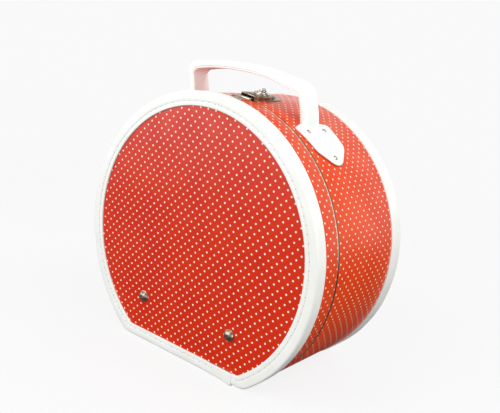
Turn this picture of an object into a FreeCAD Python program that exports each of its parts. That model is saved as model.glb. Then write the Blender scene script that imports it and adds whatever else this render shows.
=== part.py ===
import FreeCAD, Part
import math
import os
import re
import Sketcher

# Round hat box standing on a flat base.  X runs to the right, Y to the back, Z up.
# The origin is on the floor under the middle of the box.  Most pieces follow one outline:
# a circle cut off by the flat base, with two rounded corners, taken in by some inset.

SIZES = (
    ("hoop_radius", 150.0, "covered hoop, from its centre"),
    ("base_cut", 26.2, "taken off the covered hoop by the flat base"),
    ("corner_radius", 16.0, "rounded corner between hoop and flat base"),
    ("case_depth", 154.0, "front cover to back cover"),
    ("lid_depth", 34.3, "front cover to the middle of the parting gap"),
    ("parting_gap", 0.3, "gap between the two metal frames"),
    ("cover_thick", 0.6, "dotted vinyl"),
    ("board_thick", 3.0, "hardboard"),
    ("lining_thick", 0.8, "lining"),
    ("binding_thick", 1.4, "white vinyl edge binding"),
    ("binding_round", 2.2, "outer edge of the binding"),
    ("lip_width", 13.0, "binding seen on the faces"),
    ("sill_width", 10.3, "binding seen on the faces along the flat base"),
    ("lip_corner", 2.5, "corner of the binding's inner edge"),
    ("front_binding_width", 11.4, "front binding on the hoop"),
    ("back_binding_width", 18.0, "back binding on the hoop"),
    ("frame_web", 1.2, "metal frame across the wall's edge"),
    ("frame_skin", 0.8, "metal frame along the lining"),
    ("frame_skirt", 9.0, "frame's skirt over the lining"),
    ("frame_tongue", 7.0, "base frame's tongue into the lid"),
    ("tongue_gap", 1.0, "tongue to the lid frame"),
    ("hinge_spread", 45.0, "hinge middle from the box's middle"),
    ("hinge_width", 40.0, "hinge leaf along its pin"),
    ("hinge_reach", 16.0, "leaf from its pin to its far edge"),
    ("hinge_rivet", 12.2, "leaf rivets from the pin"),
    ("hinge_head", 0.4, "hinge rivet head height"),
    ("hinge_leaf", 0.7, "leaf thickness"),
    ("hinge_barrel", 1.2, "knuckle radius"),
    ("hinge_sink", 0.1, "pin axis below the covered base"),
    ("hinge_pin", 0.65, "pin radius"),
    ("hinge_clear", 0.3, "knuckle to its neighbours"),
    ("running_clear", 0.04, "shaft in its hole"),
    ("rivet_shank", 1.3, "rivet shank radius"),
    ("rivet_head", 2.4, "rivet head radius"),
    ("rivet_rise", 1.0, "rivet head height"),
    ("hole_clear", 0.05, "rivet in its hole"),
    ("fixed_clear", 0.02, "between pieces fixed to each other"),
    ("cut_past", 1.0, "cutting tools reach past what they cut"),
    ("washer_radius", 3.4, "washer inside the lining"),
    ("washer_thick", 0.6, "washer inside the lining"),
    ("stud_spread", 61.0, "face stud from the box's middle"),
    ("stud_rise", 46.8, "face stud above the covered flat base"),
    ("stud_radius", 6.2, "face stud head radius"),
    ("stud_dome", 3.0, "face stud head height"),
    ("stud_shank", 2.0, "face stud shank radius"),
    ("stud_tail", 3.2, "face stud tail radius"),
    ("tape_width", 14.0, "lid stay tape"),
    ("tape_thick", 0.6, "lid stay tape"),
    ("tape_above", 8.0, "tape end above its stud"),
    ("tape_below", 38.0, "tape fold below its stud"),
    ("patch_width", 24.0, "patch that holds the tape's other end"),
    ("patch_depth", 70.0, "front cover to the middle of the patch"),
    ("patch_length", 23.56, "patch along the hoop"),
    ("patch_drop", 15.71, "widest place of the hoop down to the patch, along the hoop"),
    ("handle_back", 32.7, "middle of the parting gap to the middle of the handle"),
    ("handle_width", 24.0, "handle strap"),
    ("handle_thick", 8.5, "handle strap"),
    ("handle_rise", 30.3, "covered hoop up to the top of the grip"),
    ("handle_span", 75.6, "middle to the outside of a leg at its foot"),
    ("foot_sink", 11.555, "hoop at a leg down to where the leg is drawn from"),
    ("handle_lean", 1.5, "legs lean in, degrees"),
    ("crown_radius", 360.0, "gentle arch of the grip"),
    ("shoulder_radius", 14.0, "outside of the bend between grip and leg"),
    ("core_width", 17.0, "spring strip in the handle"),
    ("core_inset", 3.3, "handle's outside to the spring strip"),
    ("core_thick", 1.6, "spring strip"),
    ("foot_thick", 0.8, "strip's foot under the shield"),
    ("foot_width", 33.0, "strip's foot under the shield"),
    ("neck_near", 6.19, "leg's outside back to the narrow neck between strip and foot"),
    ("foot_near", 1.4, "leg's outside to the foot, along the hoop"),
    ("foot_far", 28.1, "leg's outside to the foot's end, along the hoop"),
    ("shield_thick", 2.2, "white shield"),
    ("shield_along", 24.05, "leg's outside to the shield's middle, along the hoop"),
    ("shield_room", 10.0, "shield's outline is drawn from this far inside the hoop"),
    ("shield_half", 26.0, "shield's middle to its top edge"),
    ("shield_neck", 17.0, "half of the flat top edge"),
    ("shield_ear", 28.4, "half width at the ears"),
    ("shield_waist", 26.8, "half width at the shoulders"),
    ("shield_ear_drop", 3.8, "top edge to the ears"),
    ("shield_waist_drop", 33.0, "top edge to the shoulders"),
    ("shield_point_drop", 56.5, "top edge to the unrounded point"),
    ("shield_round", 12.0, "rounding of the shield's shoulders"),
    ("shield_tip", 15.0, "rounding of the shield's point"),
    ("upper_rivet", 9.0, "leg's outside to the upper handle rivets, along the hoop"),
    ("lower_rivet", 41.45, "leg's outside to the lower handle rivet, along the hoop"),
    ("rivet_spread", 13.7, "upper handle rivets from the handle's middle"),
    ("lock_turn", 7.6, "lock, degrees from the top"),
    ("plate_half", 9.5, "lock base plate, half width"),
    ("plate_front", 1.5, "parting to the lock plate"),
    ("plate_back", 51.0, "parting to the lock plate's round end"),
    ("plate_thick", 0.8, "lock base plate above the hoop"),
    ("case_half", 8.9, "lock case, half width"),
    ("case_back", 40.0, "parting to the lock case's round end"),
    ("case_wall", 0.8, "lock case wall"),
    ("tongue_float", 0.4, "lid tongue above the base plate"),
    ("tongue_thick", 1.0, "lid tongue"),
    ("tongue_short", 10.2, "end of the lid tongue to the knob's axis"),
    ("tongue_right", 7.4, "lock middle to the tongue's right edge"),
    ("tongue_left", 2.2, "lock middle to the tongue's left edge"),
    ("lever_float", 0.6, "latch lever above the tongue"),
    ("lever_thick", 0.6, "latch lever"),
    ("lever_half", 2.0, "latch lever, half width"),
    ("pad_near", 14.5, "spindle to the near side of the lever's pad"),
    ("pad_far", 17.5, "spindle to the far side of the lever's pad"),
    ("pad_half", 1.6, "lever's pad, half width"),
    ("pad_clear", 0.5, "lever's pad in the tongue's notch"),
    ("lever_rest", 20.0, "lever's rest, degrees off the lock's middle"),
    ("lever_clear", 0.2, "latch lever below the lock case"),
    ("hub_radius", 4.0, "latch lever round the spindle"),
    ("notch_spare", 1.2, "tongue's notch past the turned pad"),
    ("spindle_depth", 23.7, "parting to the knob's axis"),
    ("spindle_radius", 2.0, "knob spindle"),
    ("boss_radius", 8.4, "round boss on the lock case"),
    ("boss_step", 5.8, "upper step of the boss"),
    ("boss_rise", 1.5, "lower step of the boss"),
    ("boss_rise_top", 0.9, "upper step of the boss"),
    ("large_chamfer", 0.5, "chamfer of the boss's lower step and the knob's top"),
    ("small_chamfer", 0.3, "chamfer of the boss's upper step and under the knob"),
    ("knob_gap", 0.2, "knob above the boss"),
    ("knob_radius", 3.7, "turn knob"),
    ("knob_rise", 1.9, "turn knob"),
    ("wing_half", 0.9, "thumb wing, half thickness"),
    ("wing_rise", 1.3, "thumb wing"),
    ("wing_inset", 0.6, "knob's edge to the ends of the wing"),
    ("wing_sink", 0.2, "thumb wing into the knob"),
    ("striker_half", 8.0, "striker plate, half width"),
    ("striker_clear", 0.9, "front binding to the striker plate's round end"),
    ("striker_thick", 1.0, "striker plate above the hoop"),
    ("roll_radius", 1.6, "striker plate's rolled edge"),
    ("roll_depth", 4.0, "parting to the rolled edge"),
    ("striker_rivet_in", 7.5, "striker plate's round end to its rivets"),
    ("striker_rivet_half", 4.6, "striker's rivets from the lock's middle"),
    ("tail_rivet", 45.5, "parting to the lock's tail rivet"),
    ("inner_rivet", 17.0, "parting to the rivet inside the lock case"),
    ("inner_rivet_rise", 0.32, "low head of the rivet inside the lock case"),
)
NAMES = {alias for alias, number, note in SIZES}

doc = FreeCAD.newDocument("HatBox")
sheet = doc.addObject("Spreadsheet::Sheet", "Sizes")
for row, (alias, number, note) in enumerate(SIZES, start=1):
    sheet.set(f"A{row}", alias)
    sheet.set(f"B{row}", str(number))
    sheet.setAlias(f"B{row}", alias)
    sheet.set(f"C{row}", note)
doc.recompute()

# Formulas on the sheet's names that several pieces share, measured in the box's frame.
FACE_Y = "(stud_dome - case_depth - binding_thick) / 2"
BASE_DROP = "(hoop_radius - base_cut)"
CENTRE_Z = f"({BASE_DROP} + binding_thick)"
STUD_Z = "(binding_thick + stud_rise)"
WALL = "(cover_thick + board_thick)"
SHELL = "(cover_thick + board_thick + lining_thick)"
LID_EDGE = "(lid_depth - parting_gap / 2)"
BASE_EDGE = "(lid_depth + parting_gap / 2)"
SKIRT_IN = f"({SHELL} + frame_skin)"
TONGUE_OUT = f"({SKIRT_IN} + tongue_gap)"
TONGUE_IN = f"({TONGUE_OUT} + frame_skin)"
HANDLE_DEPTH = "(lid_depth + handle_back)"
HANDLE_TOP = "(hoop_radius + handle_rise)"
HANDLE_FOOT = "(sqrt(hoop_radius^2 - handle_span^2) - foot_sink)"
STRIKER_REACH = "(lid_depth - front_binding_width - striker_clear)"
STRIKER_RIVET = f"({STRIKER_REACH} - striker_rivet_in)"
TONGUE_REACH = "(spindle_depth - tongue_short)"


def along_hoop(length, start="0"):
    """The angle of an arc of the hoop, in degrees, added to a starting angle."""
    return f"({start} + ({length}) * 180 / pi / hoop_radius)"


# Angles from the top of the hoop
LEG_ANGLE = "asin(handle_span / hoop_radius) / 1deg"
NECK_START = along_hoop("-neck_near", LEG_ANGLE)
FOOT_START = along_hoop("foot_near", LEG_ANGLE)
FOOT_END = along_hoop("foot_far", LEG_ANGLE)
SHIELD_MIDDLE = along_hoop("shield_along", LEG_ANGLE)
UPPER_RIVET = along_hoop("upper_rivet", LEG_ANGLE)
LOWER_RIVET = along_hoop("lower_rivet", LEG_ANGLE)

KEPT = []


def formula(text):
    """Point every size name in the text at the sheet."""
    def full(found):
        return "Sizes." + found[0] if found[0] in NAMES else found[0]

    return re.sub(r"[a-z_]+", full, text)


def value(text):
    """The number that a formula gives, in millimetres or degrees."""
    result = sheet.evalExpression(formula(text))
    return float(getattr(result, "Value", result))


def keep(thing, name):
    """Note a finished sub-part, which will be written out under this name."""
    thing.Label = name
    KEPT.append(thing)
    return thing


# Frames of reference

def box_frame(depth="0", across="0", up=CENTRE_Z):
    """A frame square to the box, its depth measured from the front cover."""
    base = FreeCAD.Vector(value(across), value(f"{FACE_Y} + {depth}"), value(up))
    return FreeCAD.Placement(base, FreeCAD.Rotation())


def radial_frame(angle, depth):
    """Z runs outwards from the hoop's centre at an angle from the top, towards +X."""
    turn = FreeCAD.Rotation(FreeCAD.Vector(0, 1, 0), value(angle))
    return FreeCAD.Placement(box_frame(depth).Base, turn)


def outward_frame(across, up):
    """Z runs out of the front face, from a point on the front cover."""
    turn = FreeCAD.Rotation(FreeCAD.Vector(1, 0, 0), 90)
    return FreeCAD.Placement(box_frame("0", across, up).Base, turn)


def lock_frame():
    """Z runs outwards through the lock's middle, with Y from the parting gap."""
    return radial_frame("lock_turn", "lid_depth")


def hinge_frame(side):
    """On the hinge pin's axis, at the middle of one hinge."""
    return box_frame("lid_depth", f"{side} * hinge_spread", "binding_thick - hinge_sink")


# Part primitives with sizes bound to the sheet

def put(thing, frame, at, turn=None):
    """Place a primitive at a point of a frame."""
    point = FreeCAD.Vector(*[value(part) for part in at])
    thing.Placement = frame.multiply(FreeCAD.Placement(point, turn or FreeCAD.Rotation()))
    return thing


def cylinder(name, frame, radius, low, high, across="0", along="0"):
    """A cylinder on the frame's Z axis, or beside it."""
    solid = doc.addObject("Part::Cylinder", name)
    solid.setExpression("Radius", formula(radius))
    solid.setExpression("Height", formula(f"({high}) - ({low})"))
    return put(solid, frame, (across, along, low))


def block(name, frame, x_range, y_range, z_range, turn=None):
    """A box between two values on each axis of the frame."""
    solid = doc.addObject("Part::Box", name)
    for side, (low, high) in zip(("Length", "Width", "Height"), (x_range, y_range, z_range)):
        solid.setExpression(side, formula(f"({high}) - ({low})"))
    return put(solid, frame, (x_range[0], y_range[0], z_range[0]), turn)


def rod(name, frame, radius, low, high, along="0", up="0"):
    """A cylinder parallel to the frame's X axis."""
    solid = doc.addObject("Part::Cylinder", name)
    solid.setExpression("Radius", formula(radius))
    solid.setExpression("Height", formula(f"({high}) - ({low})"))
    return put(solid, frame, (low, along, up), FreeCAD.Rotation(FreeCAD.Vector(0, 1, 0), 90))


def hoop_drum(name, radius, low, high, start=None, sweep=None):
    """A drum round the hoop's own axis, whole or from one angle on."""
    solid = doc.addObject("Part::Cylinder", name)
    solid.setExpression("Radius", formula(radius))
    solid.setExpression("Height", formula(f"({high}) - ({low})"))
    top_to_back = FreeCAD.Rotation(FreeCAD.Vector(1, 1, 1), 240)
    angle = value(start) if start else 0
    if sweep:
        solid.setExpression("Angle", formula(sweep))
    turn = FreeCAD.Rotation(FreeCAD.Vector(0, 1, 0), angle).multiply(top_to_back)
    solid.Placement = FreeCAD.Placement(box_frame(low).Base, turn)
    return solid


def dome(name, frame, radius, low, rise, across="0", along="0"):
    """A low round head, flat underneath."""
    ball = f"(({radius})^2 + ({rise})^2) / (2 * ({rise}))"
    solid = doc.addObject("Part::Sphere", name)
    solid.setExpression("Radius", formula(ball))
    solid.setExpression("Angle1", formula(f"asin(1 - ({rise}) / ({ball}))"))
    return put(solid, frame, (across, along, f"({low}) + ({rise}) - ({ball})"))


def fuse(name, pieces):
    whole = doc.addObject("Part::MultiFuse", name)
    whole.Shapes = pieces
    return whole


def group(name, pieces):
    """Separate solids under one name."""
    whole = doc.addObject("Part::Compound", name)
    whole.Links = pieces
    return whole


def cut(name, piece, tool):
    result = doc.addObject("Part::Cut", name)
    result.Base = piece
    result.Tool = tool
    return result


def arc_plate(name, inner, outer, low, high, start, sweep):
    """A curved plate on the hoop, between two radii and two depths."""
    solid = hoop_drum(name + "_outer", outer, low, high, start, sweep)
    return cut(name, solid, hoop_drum(name + "_inner", inner, low, high))


# Sketches

def new_body(name, frame):
    body = doc.addObject("PartDesign::Body", name)
    body.Placement = frame
    return body


def face_body(name):
    """A body whose XZ plane is the front cover and whose centre is the hoop's."""
    body = doc.addObject("PartDesign::Body", name)
    body.setExpression("Placement.Base.y", formula(FACE_Y))
    body.setExpression("Placement.Base.z", formula(CENTRE_Z))
    return body


def new_sketch(body, role, offset="0"):
    """A sketch on one of the body's own planes, moved along that plane's normal."""
    sketch = body.newObject("Sketcher::SketchObject", body.Name + "_sketch")
    plane = next(item for item in body.Origin.OriginFeatures if item.Role == role)
    sketch.AttachmentSupport = (plane, [""])
    sketch.MapMode = "FlatFace"
    sketch.setExpression("AttachmentOffset.Base.z", formula(offset))
    return sketch


def bind(sketch, kind, *places, size):
    """A dimension of the sketch, bound to a formula."""
    index = sketch.addConstraint(Sketcher.Constraint(kind, *places, value(size)))
    sketch.setExpression(f"Constraints[{index}]", formula(size))


def arc(centre_x, centre_y, radius, start, end):
    circle = Part.Circle(FreeCAD.Vector(centre_x, centre_y, 0), FreeCAD.Vector(0, 0, 1), radius)
    return Part.ArcOfCircle(circle, start, end)


def line(first, second):
    return Part.LineSegment(FreeCAD.Vector(*first, 0), FreeCAD.Vector(*second, 0))


def draw_outline(sketch, radius, drop, corner):
    """The box's outline: big arc over the top, two corner arcs and the flat base."""
    big, low, small = value(radius), value(drop), value(corner)
    middle_x = math.sqrt((big - small) ** 2 - (low - small) ** 2)
    middle_y = small - low
    turn = math.atan2(middle_y, middle_x)
    over = sketch.addGeometry(arc(0, 0, big, turn, math.pi - turn))
    left = sketch.addGeometry(arc(-middle_x, middle_y, small, math.pi - turn, 1.5 * math.pi))
    base = sketch.addGeometry(line((-middle_x, -low), (middle_x, -low)))
    right = sketch.addGeometry(arc(middle_x, middle_y, small, -math.pi / 2, turn))
    for first, second in ((over, left), (left, base), (base, right), (right, over)):
        sketch.addConstraint(Sketcher.Constraint("Tangent", first, 2, second, 1))
    sketch.addConstraint(Sketcher.Constraint("Coincident", over, 3, -1, 1))
    sketch.addConstraint(Sketcher.Constraint("Horizontal", base))
    sketch.addConstraint(Sketcher.Constraint("Equal", left, right))
    bind(sketch, "Radius", over, size=radius)
    bind(sketch, "Radius", left, size=corner)
    bind(sketch, "DistanceY", base, 1, -1, 1, size=drop)


def draw_inset(sketch, inset):
    draw_outline(sketch, f"hoop_radius - ({inset})", f"{BASE_DROP} - ({inset})",
                 f"corner_radius - ({inset})")


def draw_lip(sketch):
    """Inner edge of the bindings on the faces."""
    draw_outline(sketch, "hoop_radius - lip_width", f"{BASE_DROP} - sill_width", "lip_corner")


def draw_polygon(sketch, points):
    """A closed outline whose corners are each bound by two formulas."""
    spots = [(value(x), value(y)) for x, y in points]
    edges = [sketch.addGeometry(line(spots[i - 1], spots[i])) for i in range(len(spots))]
    for i, edge in enumerate(edges):
        sketch.addConstraint(Sketcher.Constraint("Coincident", edges[i - 1], 2, edge, 1))
        bind(sketch, "DistanceX", -1, 1, edge, 2, size=points[i][0])
        bind(sketch, "DistanceY", -1, 1, edge, 2, size=points[i][1])


def pad(body, sketch, length, reverse=False):
    feature = body.newObject("PartDesign::Pad", body.Name + "_pad")
    feature.Profile = sketch
    feature.setExpression("Length", formula(length))
    feature.Reversed = reverse
    return feature


def slab(body, low, high, *outlines):
    """Pad outlines between two depths behind the front cover; a second outline is a hole."""
    sketch = new_sketch(body, "XZ_Plane", f"-({low})")
    for draw in outlines:
        draw(sketch)
    return pad(body, sketch, f"({high}) - ({low})", reverse=True)


def inset(text):
    """An outline to draw, taken in by a formula."""
    return lambda sketch: draw_inset(sketch, text)


def turned(name, frame, points):
    """A lathe-turned piece: a profile of radius and height pairs round the frame's Z axis."""
    body = new_body(name, frame)
    sketch = new_sketch(body, "XZ_Plane")
    draw_polygon(sketch, points)
    feature = body.newObject("PartDesign::Revolution", name + "_turn")
    feature.Profile = sketch
    feature.ReferenceAxis = (sketch, ["V_Axis"])
    feature.Angle = 360
    return body


# Fasteners

def rivet(name, frame, low, high, across="0", along="0", rise="rivet_rise"):
    """A rivet between its inner tail and its domed head, on the frame's Z axis."""
    head = dome(name + "_head", frame, "rivet_head", high, rise, across, along)
    tail_low = f"({low}) - rivet_rise"
    shank = cylinder(name + "_shank", frame, "rivet_shank", tail_low, high, across, along)
    tail = cylinder(name + "_tail", frame, "rivet_head", tail_low, low, across, along)
    return fuse(name, [head, shank, tail])


def washer(name, frame, low, across="0", along="0"):
    """A washer against the inside of the lining."""
    high = f"({low}) + washer_thick"
    disc = cylinder(name + "_disc", frame, "washer_radius", low, high, across, along)
    hole = cylinder(name + "_hole", frame, "rivet_shank + hole_clear", low, high, across, along)
    return cut(name, disc, hole)


def drill(name, frame, low, high, across="0", along="0"):
    """The hole that a rivet passes through."""
    return cylinder(name, frame, "rivet_shank + hole_clear", low, high, across, along)


SIDES = (("left", -1), ("right", 1))

# A flat washer on the curved lining touches it at its rim, a little inside the lining's radius.
LINING_FLAT = f"(sqrt((hoop_radius - {SHELL})^2 - washer_radius^2) - fixed_clear)"
RIVET_TAIL = f"({LINING_FLAT} - washer_thick)"
STRIKER_SPAN = "(striker_rivet_half + washer_radius)"
STRIKER_TAIL = f"(sqrt((hoop_radius - {SHELL})^2 - {STRIKER_SPAN}^2) - fixed_clear - washer_thick)"
HINGE_TOP = f"({SHELL} + hinge_sink)"
LEAF_LOW = "(hinge_sink - hinge_leaf)"

# Where each rivet stands: a name, its frame, and its place in that frame
HANDLE_SPOTS = []
for side_name, side in SIDES:
    for mark, angle, spread in (("front", UPPER_RIVET, "-rivet_spread"),
                                ("rear", UPPER_RIVET, "rivet_spread"),
                                ("low", LOWER_RIVET, "0")):
        frame = radial_frame(f"{side} * {angle}", HANDLE_DEPTH)
        HANDLE_SPOTS.append((f"handle_{side_name}_{mark}", frame, "0", spread))
LOCK_SPOTS = [("lock_tail", lock_frame(), "0", "tail_rivet"),
              ("lock_inner", lock_frame(), "0", "inner_rivet")]
STRIKER_SPOTS = [(f"striker_{side_name}", lock_frame(), f"{side} * striker_rivet_half", f"-{STRIKER_RIVET}")
                 for side_name, side in SIDES]
HINGE_ACROSS = "hinge_width / 3"


def hinge_spots(direction):
    """Two rivets in each hinge leaf, before (-1) or behind (1) the pin."""
    return [(f"hinge_{side_name}_{mark}", hinge_frame(side), f"{step} * {HINGE_ACROSS}",
             f"{direction} * hinge_rivet")
            for side_name, side in SIDES for mark, step in (("a", -1), ("b", 1))]


# Holes and notches that several layers of the lid, or of the base, share
NOTCH = "(hinge_barrel + hinge_clear)"


def hinge_notches(tag):
    """Room in the walls for the hinge knuckles."""
    half = "(hinge_width / 2 + hinge_clear)"
    return [block(f"{tag}_notch_{side_name}", hinge_frame(side), (f"-{half}", half),
                  (f"-{NOTCH}", NOTCH), ("-hinge_barrel", NOTCH)) for side_name, side in SIDES]


def drills(tag, spots, low, high):
    return [drill(f"{tag}_{name}", frame, low, high, x, y) for name, frame, x, y in spots]


STUD_HOLE_END = f"-({SHELL} + tape_thick + cut_past)"
stud_holes = [cylinder(f"stud_hole_{side_name}", outward_frame(f"{side} * stud_spread", STUD_Z),
                       "stud_shank + hole_clear", STUD_HOLE_END, "cut_past")
              for side_name, side in SIDES]
DEEP = f"(hoop_radius - {SHELL} - cut_past)"
HINGE_DRILL = ("-hinge_leaf - cut_past", f"{HINGE_TOP} + cut_past")
lid_cuts = group("lid_cuts", stud_holes + hinge_notches("lid")
                 + drills("lid", STRIKER_SPOTS, DEEP, "hoop_radius + cut_past")
                 + drills("lid", hinge_spots(-1), *HINGE_DRILL))
base_cuts = group("base_cuts", hinge_notches("base")
                  + drills("base", HANDLE_SPOTS, DEEP, "hoop_radius + shield_thick + cut_past")
                  + drills("base", LOCK_SPOTS, DEEP, "hoop_radius + cut_past")
                  + drills("base", hinge_spots(1), *HINGE_DRILL))


# Walls, covers and linings

def layer(name, cuts, low, high, *outlines):
    """One sheet or band of the case, with its holes."""
    body = face_body(name + "_blank")
    slab(body, low, high, *outlines)
    return keep(cut(name, body, cuts), name)


BACK_BOARD = "(case_depth - cover_thick - board_thick)"
layer("lid_face_cover", lid_cuts, "0", "cover_thick", inset("0"))
layer("lid_face_board", lid_cuts, "cover_thick", WALL, inset(WALL))
layer("lid_lining_panel", lid_cuts, WALL, SHELL, inset(WALL))
layer("lid_hoop_cover", lid_cuts, "cover_thick", f"{LID_EDGE} - frame_web",
      inset("0"), inset("cover_thick"))
layer("lid_hoop_board", lid_cuts, "cover_thick", f"{LID_EDGE} - frame_web",
      inset("cover_thick"), inset(WALL))
layer("lid_lining_band", lid_cuts, SHELL, f"{LID_EDGE} - frame_web", inset(WALL), inset(SHELL))
layer("base_hoop_cover", base_cuts, f"{BASE_EDGE} + frame_web", "case_depth - cover_thick",
      inset("0"), inset("cover_thick"))
layer("base_hoop_board", base_cuts, f"{BASE_EDGE} + frame_web", "case_depth - cover_thick",
      inset("cover_thick"), inset(WALL))
layer("base_lining_band", base_cuts, f"{BASE_EDGE} + frame_web", f"{BACK_BOARD} - lining_thick",
      inset(WALL), inset(SHELL))
layer("back_cover", base_cuts, "case_depth - cover_thick", "case_depth", inset("0"))
layer("back_board", base_cuts, BACK_BOARD, "case_depth - cover_thick", inset(WALL))
layer("back_lining_panel", base_cuts, f"{BACK_BOARD} - lining_thick", BACK_BOARD, inset(WALL))


# Metal frames on the two edges that meet

def lid_frame():
    body = face_body("lid_frame_blank")
    slab(body, f"{LID_EDGE} - frame_web", LID_EDGE, inset("0"), inset(SKIRT_IN))
    slab(body, f"{LID_EDGE} - frame_skirt", f"{LID_EDGE} - frame_web", inset(SHELL), inset(SKIRT_IN))
    return keep(cut("lid_frame", body, lid_cuts), "lid_frame")


def base_frame():
    body = face_body("base_frame_blank")
    slab(body, BASE_EDGE, f"{BASE_EDGE} + frame_web", inset("0"), inset(TONGUE_IN))
    slab(body, f"{BASE_EDGE} + frame_web", f"{BASE_EDGE} + frame_skirt", inset(SHELL), inset(SKIRT_IN))
    slab(body, f"{BASE_EDGE} - frame_tongue", BASE_EDGE, inset(TONGUE_OUT), inset(TONGUE_IN))
    return keep(cut("base_frame", body, base_cuts), "base_frame")


lid_frame()
base_frame()


# White edge bindings

ROUND_LIMIT = "1.6"


def round_rim(body, feature, depth):
    """Round the outer edge of the binding's face at this depth."""
    doc.recompute()
    level = value(depth)
    rims = [face.OuterWire for face in feature.Shape.Faces
            if abs(face.BoundBox.YMin - level) < 1e-6 and abs(face.BoundBox.YMax - level) < 1e-6]
    names = [f"Edge{number}" for number, edge in enumerate(feature.Shape.Edges, start=1)
             if any(edge.isSame(other) for rim in rims for other in rim.Edges)]
    fillet = body.newObject("PartDesign::Fillet", body.Name + "_round")
    fillet.Base = (feature, names)
    fillet.setExpression("Radius", formula(f"min(binding_round, {ROUND_LIMIT} * binding_thick)"))
    return fillet


def binding(name, face_low, face_high, hoop_low, hoop_high, rim):
    """A strip folded over the case's edge: a lip on the face and a band on the hoop."""
    body = face_body(name)
    outside = inset("-binding_thick")
    slab(body, face_low, face_high, outside, draw_lip)
    band = slab(body, hoop_low, hoop_high, outside, inset("0"))
    round_rim(body, band, rim)
    return keep(body, name)


binding("lid_binding", "-binding_thick", "0", "0", "front_binding_width", "-binding_thick")
binding("back_binding", "case_depth", "case_depth + binding_thick",
        "case_depth - back_binding_width", "case_depth", "case_depth + binding_thick")


# Hinges under the flat base

KNUCKLES = 5


def knuckle_ends(number):
    """Where one knuckle starts and ends along the pin."""
    pitch = f"(hinge_width / {KNUCKLES})"
    return (f"-hinge_width / 2 + {number} * {pitch} + hinge_clear / 2",
            f"-hinge_width / 2 + {number + 1} * {pitch} - hinge_clear / 2")


def hinge_leaf(name, side, direction, numbers):
    """A leaf with its knuckles; the leaf lies before (-1) or behind (1) the pin."""
    frame = hinge_frame(side)
    pieces = []
    for step, number in enumerate(numbers):
        low, high = knuckle_ends(number)
        pieces.append(rod(f"{name}_knuckle_{step}", frame, "hinge_barrel", low, high))
        reach = sorted((f"{direction} * {NOTCH}", "0"), key=value)
        pieces.append(block(f"{name}_web_{step}", frame, (low, high), reach, (LEAF_LOW, "hinge_sink")))
    reach = sorted((f"{direction} * {NOTCH}", f"{direction} * hinge_reach"), key=value)
    half = ("-hinge_width / 2", "hinge_width / 2")
    pieces.append(block(f"{name}_plate", frame, half, reach, (LEAF_LOW, "hinge_sink")))
    whole = fuse(name + "_whole", pieces)
    holes = [rod(f"{name}_bore", frame, "hinge_pin + running_clear", *half)]
    holes += [drill(f"{name}_{mark}", frame, *HINGE_DRILL,
                    f"{step} * {HINGE_ACROSS}", f"{direction} * hinge_rivet")
              for mark, step in (("a", -1), ("b", 1))]
    return keep(cut(name, whole, group(name + "_holes", holes)), name)


def hinge_rivets(name, direction):
    """Low heads under the leaves, tails inside the lining."""
    rivets = []
    for mark, frame, x, y in hinge_spots(direction):
        head_low = f"{LEAF_LOW} - hinge_head"
        head = cylinder(f"{name}_{mark}_head", frame, "rivet_head", head_low, LEAF_LOW, x, y)
        shank = cylinder(f"{name}_{mark}_shank", frame, "rivet_shank", head_low, HINGE_TOP, x, y)
        tail_high = f"{HINGE_TOP} + washer_thick"
        tail = cylinder(f"{name}_{mark}_tail", frame, "rivet_head", HINGE_TOP, tail_high, x, y)
        rivets.append(fuse(f"{name}_{mark}", [head, shank, tail]))
    return keep(group(name, rivets), name)


for side_name, side in SIDES:
    hinge_leaf(f"hinge_leaf_lid_{side_name}", side, -1, (1, 3))
    hinge_leaf(f"hinge_leaf_base_{side_name}", side, 1, (0, 2, 4))
    pin = rod(f"hinge_pin_{side_name}", hinge_frame(side), "hinge_pin",
              "-hinge_width / 2 + hinge_clear / 2", "hinge_width / 2 - hinge_clear / 2")
    keep(pin, f"hinge_pin_{side_name}")
hinge_rivets("hinge_rivets_lid", -1)
hinge_rivets("hinge_rivets_base", 1)


# Face studs, which also hold the lid's stay tapes

STUD_TAIL = f"(-{SHELL} - tape_thick)"


def face_studs():
    studs = []
    washers = []
    for side_name, side in SIDES:
        frame = outward_frame(f"{side} * stud_spread", STUD_Z)
        washer_low = f"{STUD_TAIL} - washer_thick"
        tail_low = f"{washer_low} - rivet_rise"
        head = dome(f"stud_{side_name}_head", frame, "stud_radius", "0", "stud_dome")
        shank = cylinder(f"stud_{side_name}_shank", frame, "stud_shank", tail_low, "0")
        tail = cylinder(f"stud_{side_name}_tail", frame, "stud_tail", tail_low, washer_low)
        studs.append(fuse(f"stud_{side_name}", [head, shank, tail]))
        disc = cylinder(f"stud_{side_name}_disc", frame, "stud_radius", washer_low, STUD_TAIL)
        hole = cylinder(f"stud_{side_name}_bore", frame, "stud_shank + hole_clear", washer_low, STUD_TAIL)
        washers.append(cut(f"stud_{side_name}_washer", disc, hole))
    keep(group("face_studs", studs), "face_studs")
    keep(group("stud_washers", washers), "stud_washers")


face_studs()
for side_name, side in SIDES:
    tape = block(f"tape_{side_name}", box_frame(SHELL, f"{side} * stud_spread", STUD_Z),
                 ("-tape_width / 2", "tape_width / 2"), ("0", "tape_thick"), ("-tape_below", "tape_above"))
    keep(cut(f"stay_tape_{side_name}", tape, lid_cuts), f"stay_tape_{side_name}")
PATCH_IN = f"hoop_radius - {SHELL} - tape_thick"
patches = [arc_plate(f"patch_{side_name}", PATCH_IN, f"hoop_radius - {SHELL}",
                     "patch_depth - patch_width / 2", "patch_depth + patch_width / 2",
                     start, along_hoop("patch_length"))
           for side_name, start in (("left", along_hoop("-patch_drop - patch_length / 2", "-90")),
                                    ("right", along_hoop("patch_drop - patch_length / 2", "90")))]
keep(group("stay_patches", patches), "stay_patches")


# Handle

SETTLING_STEPS = 20


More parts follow.
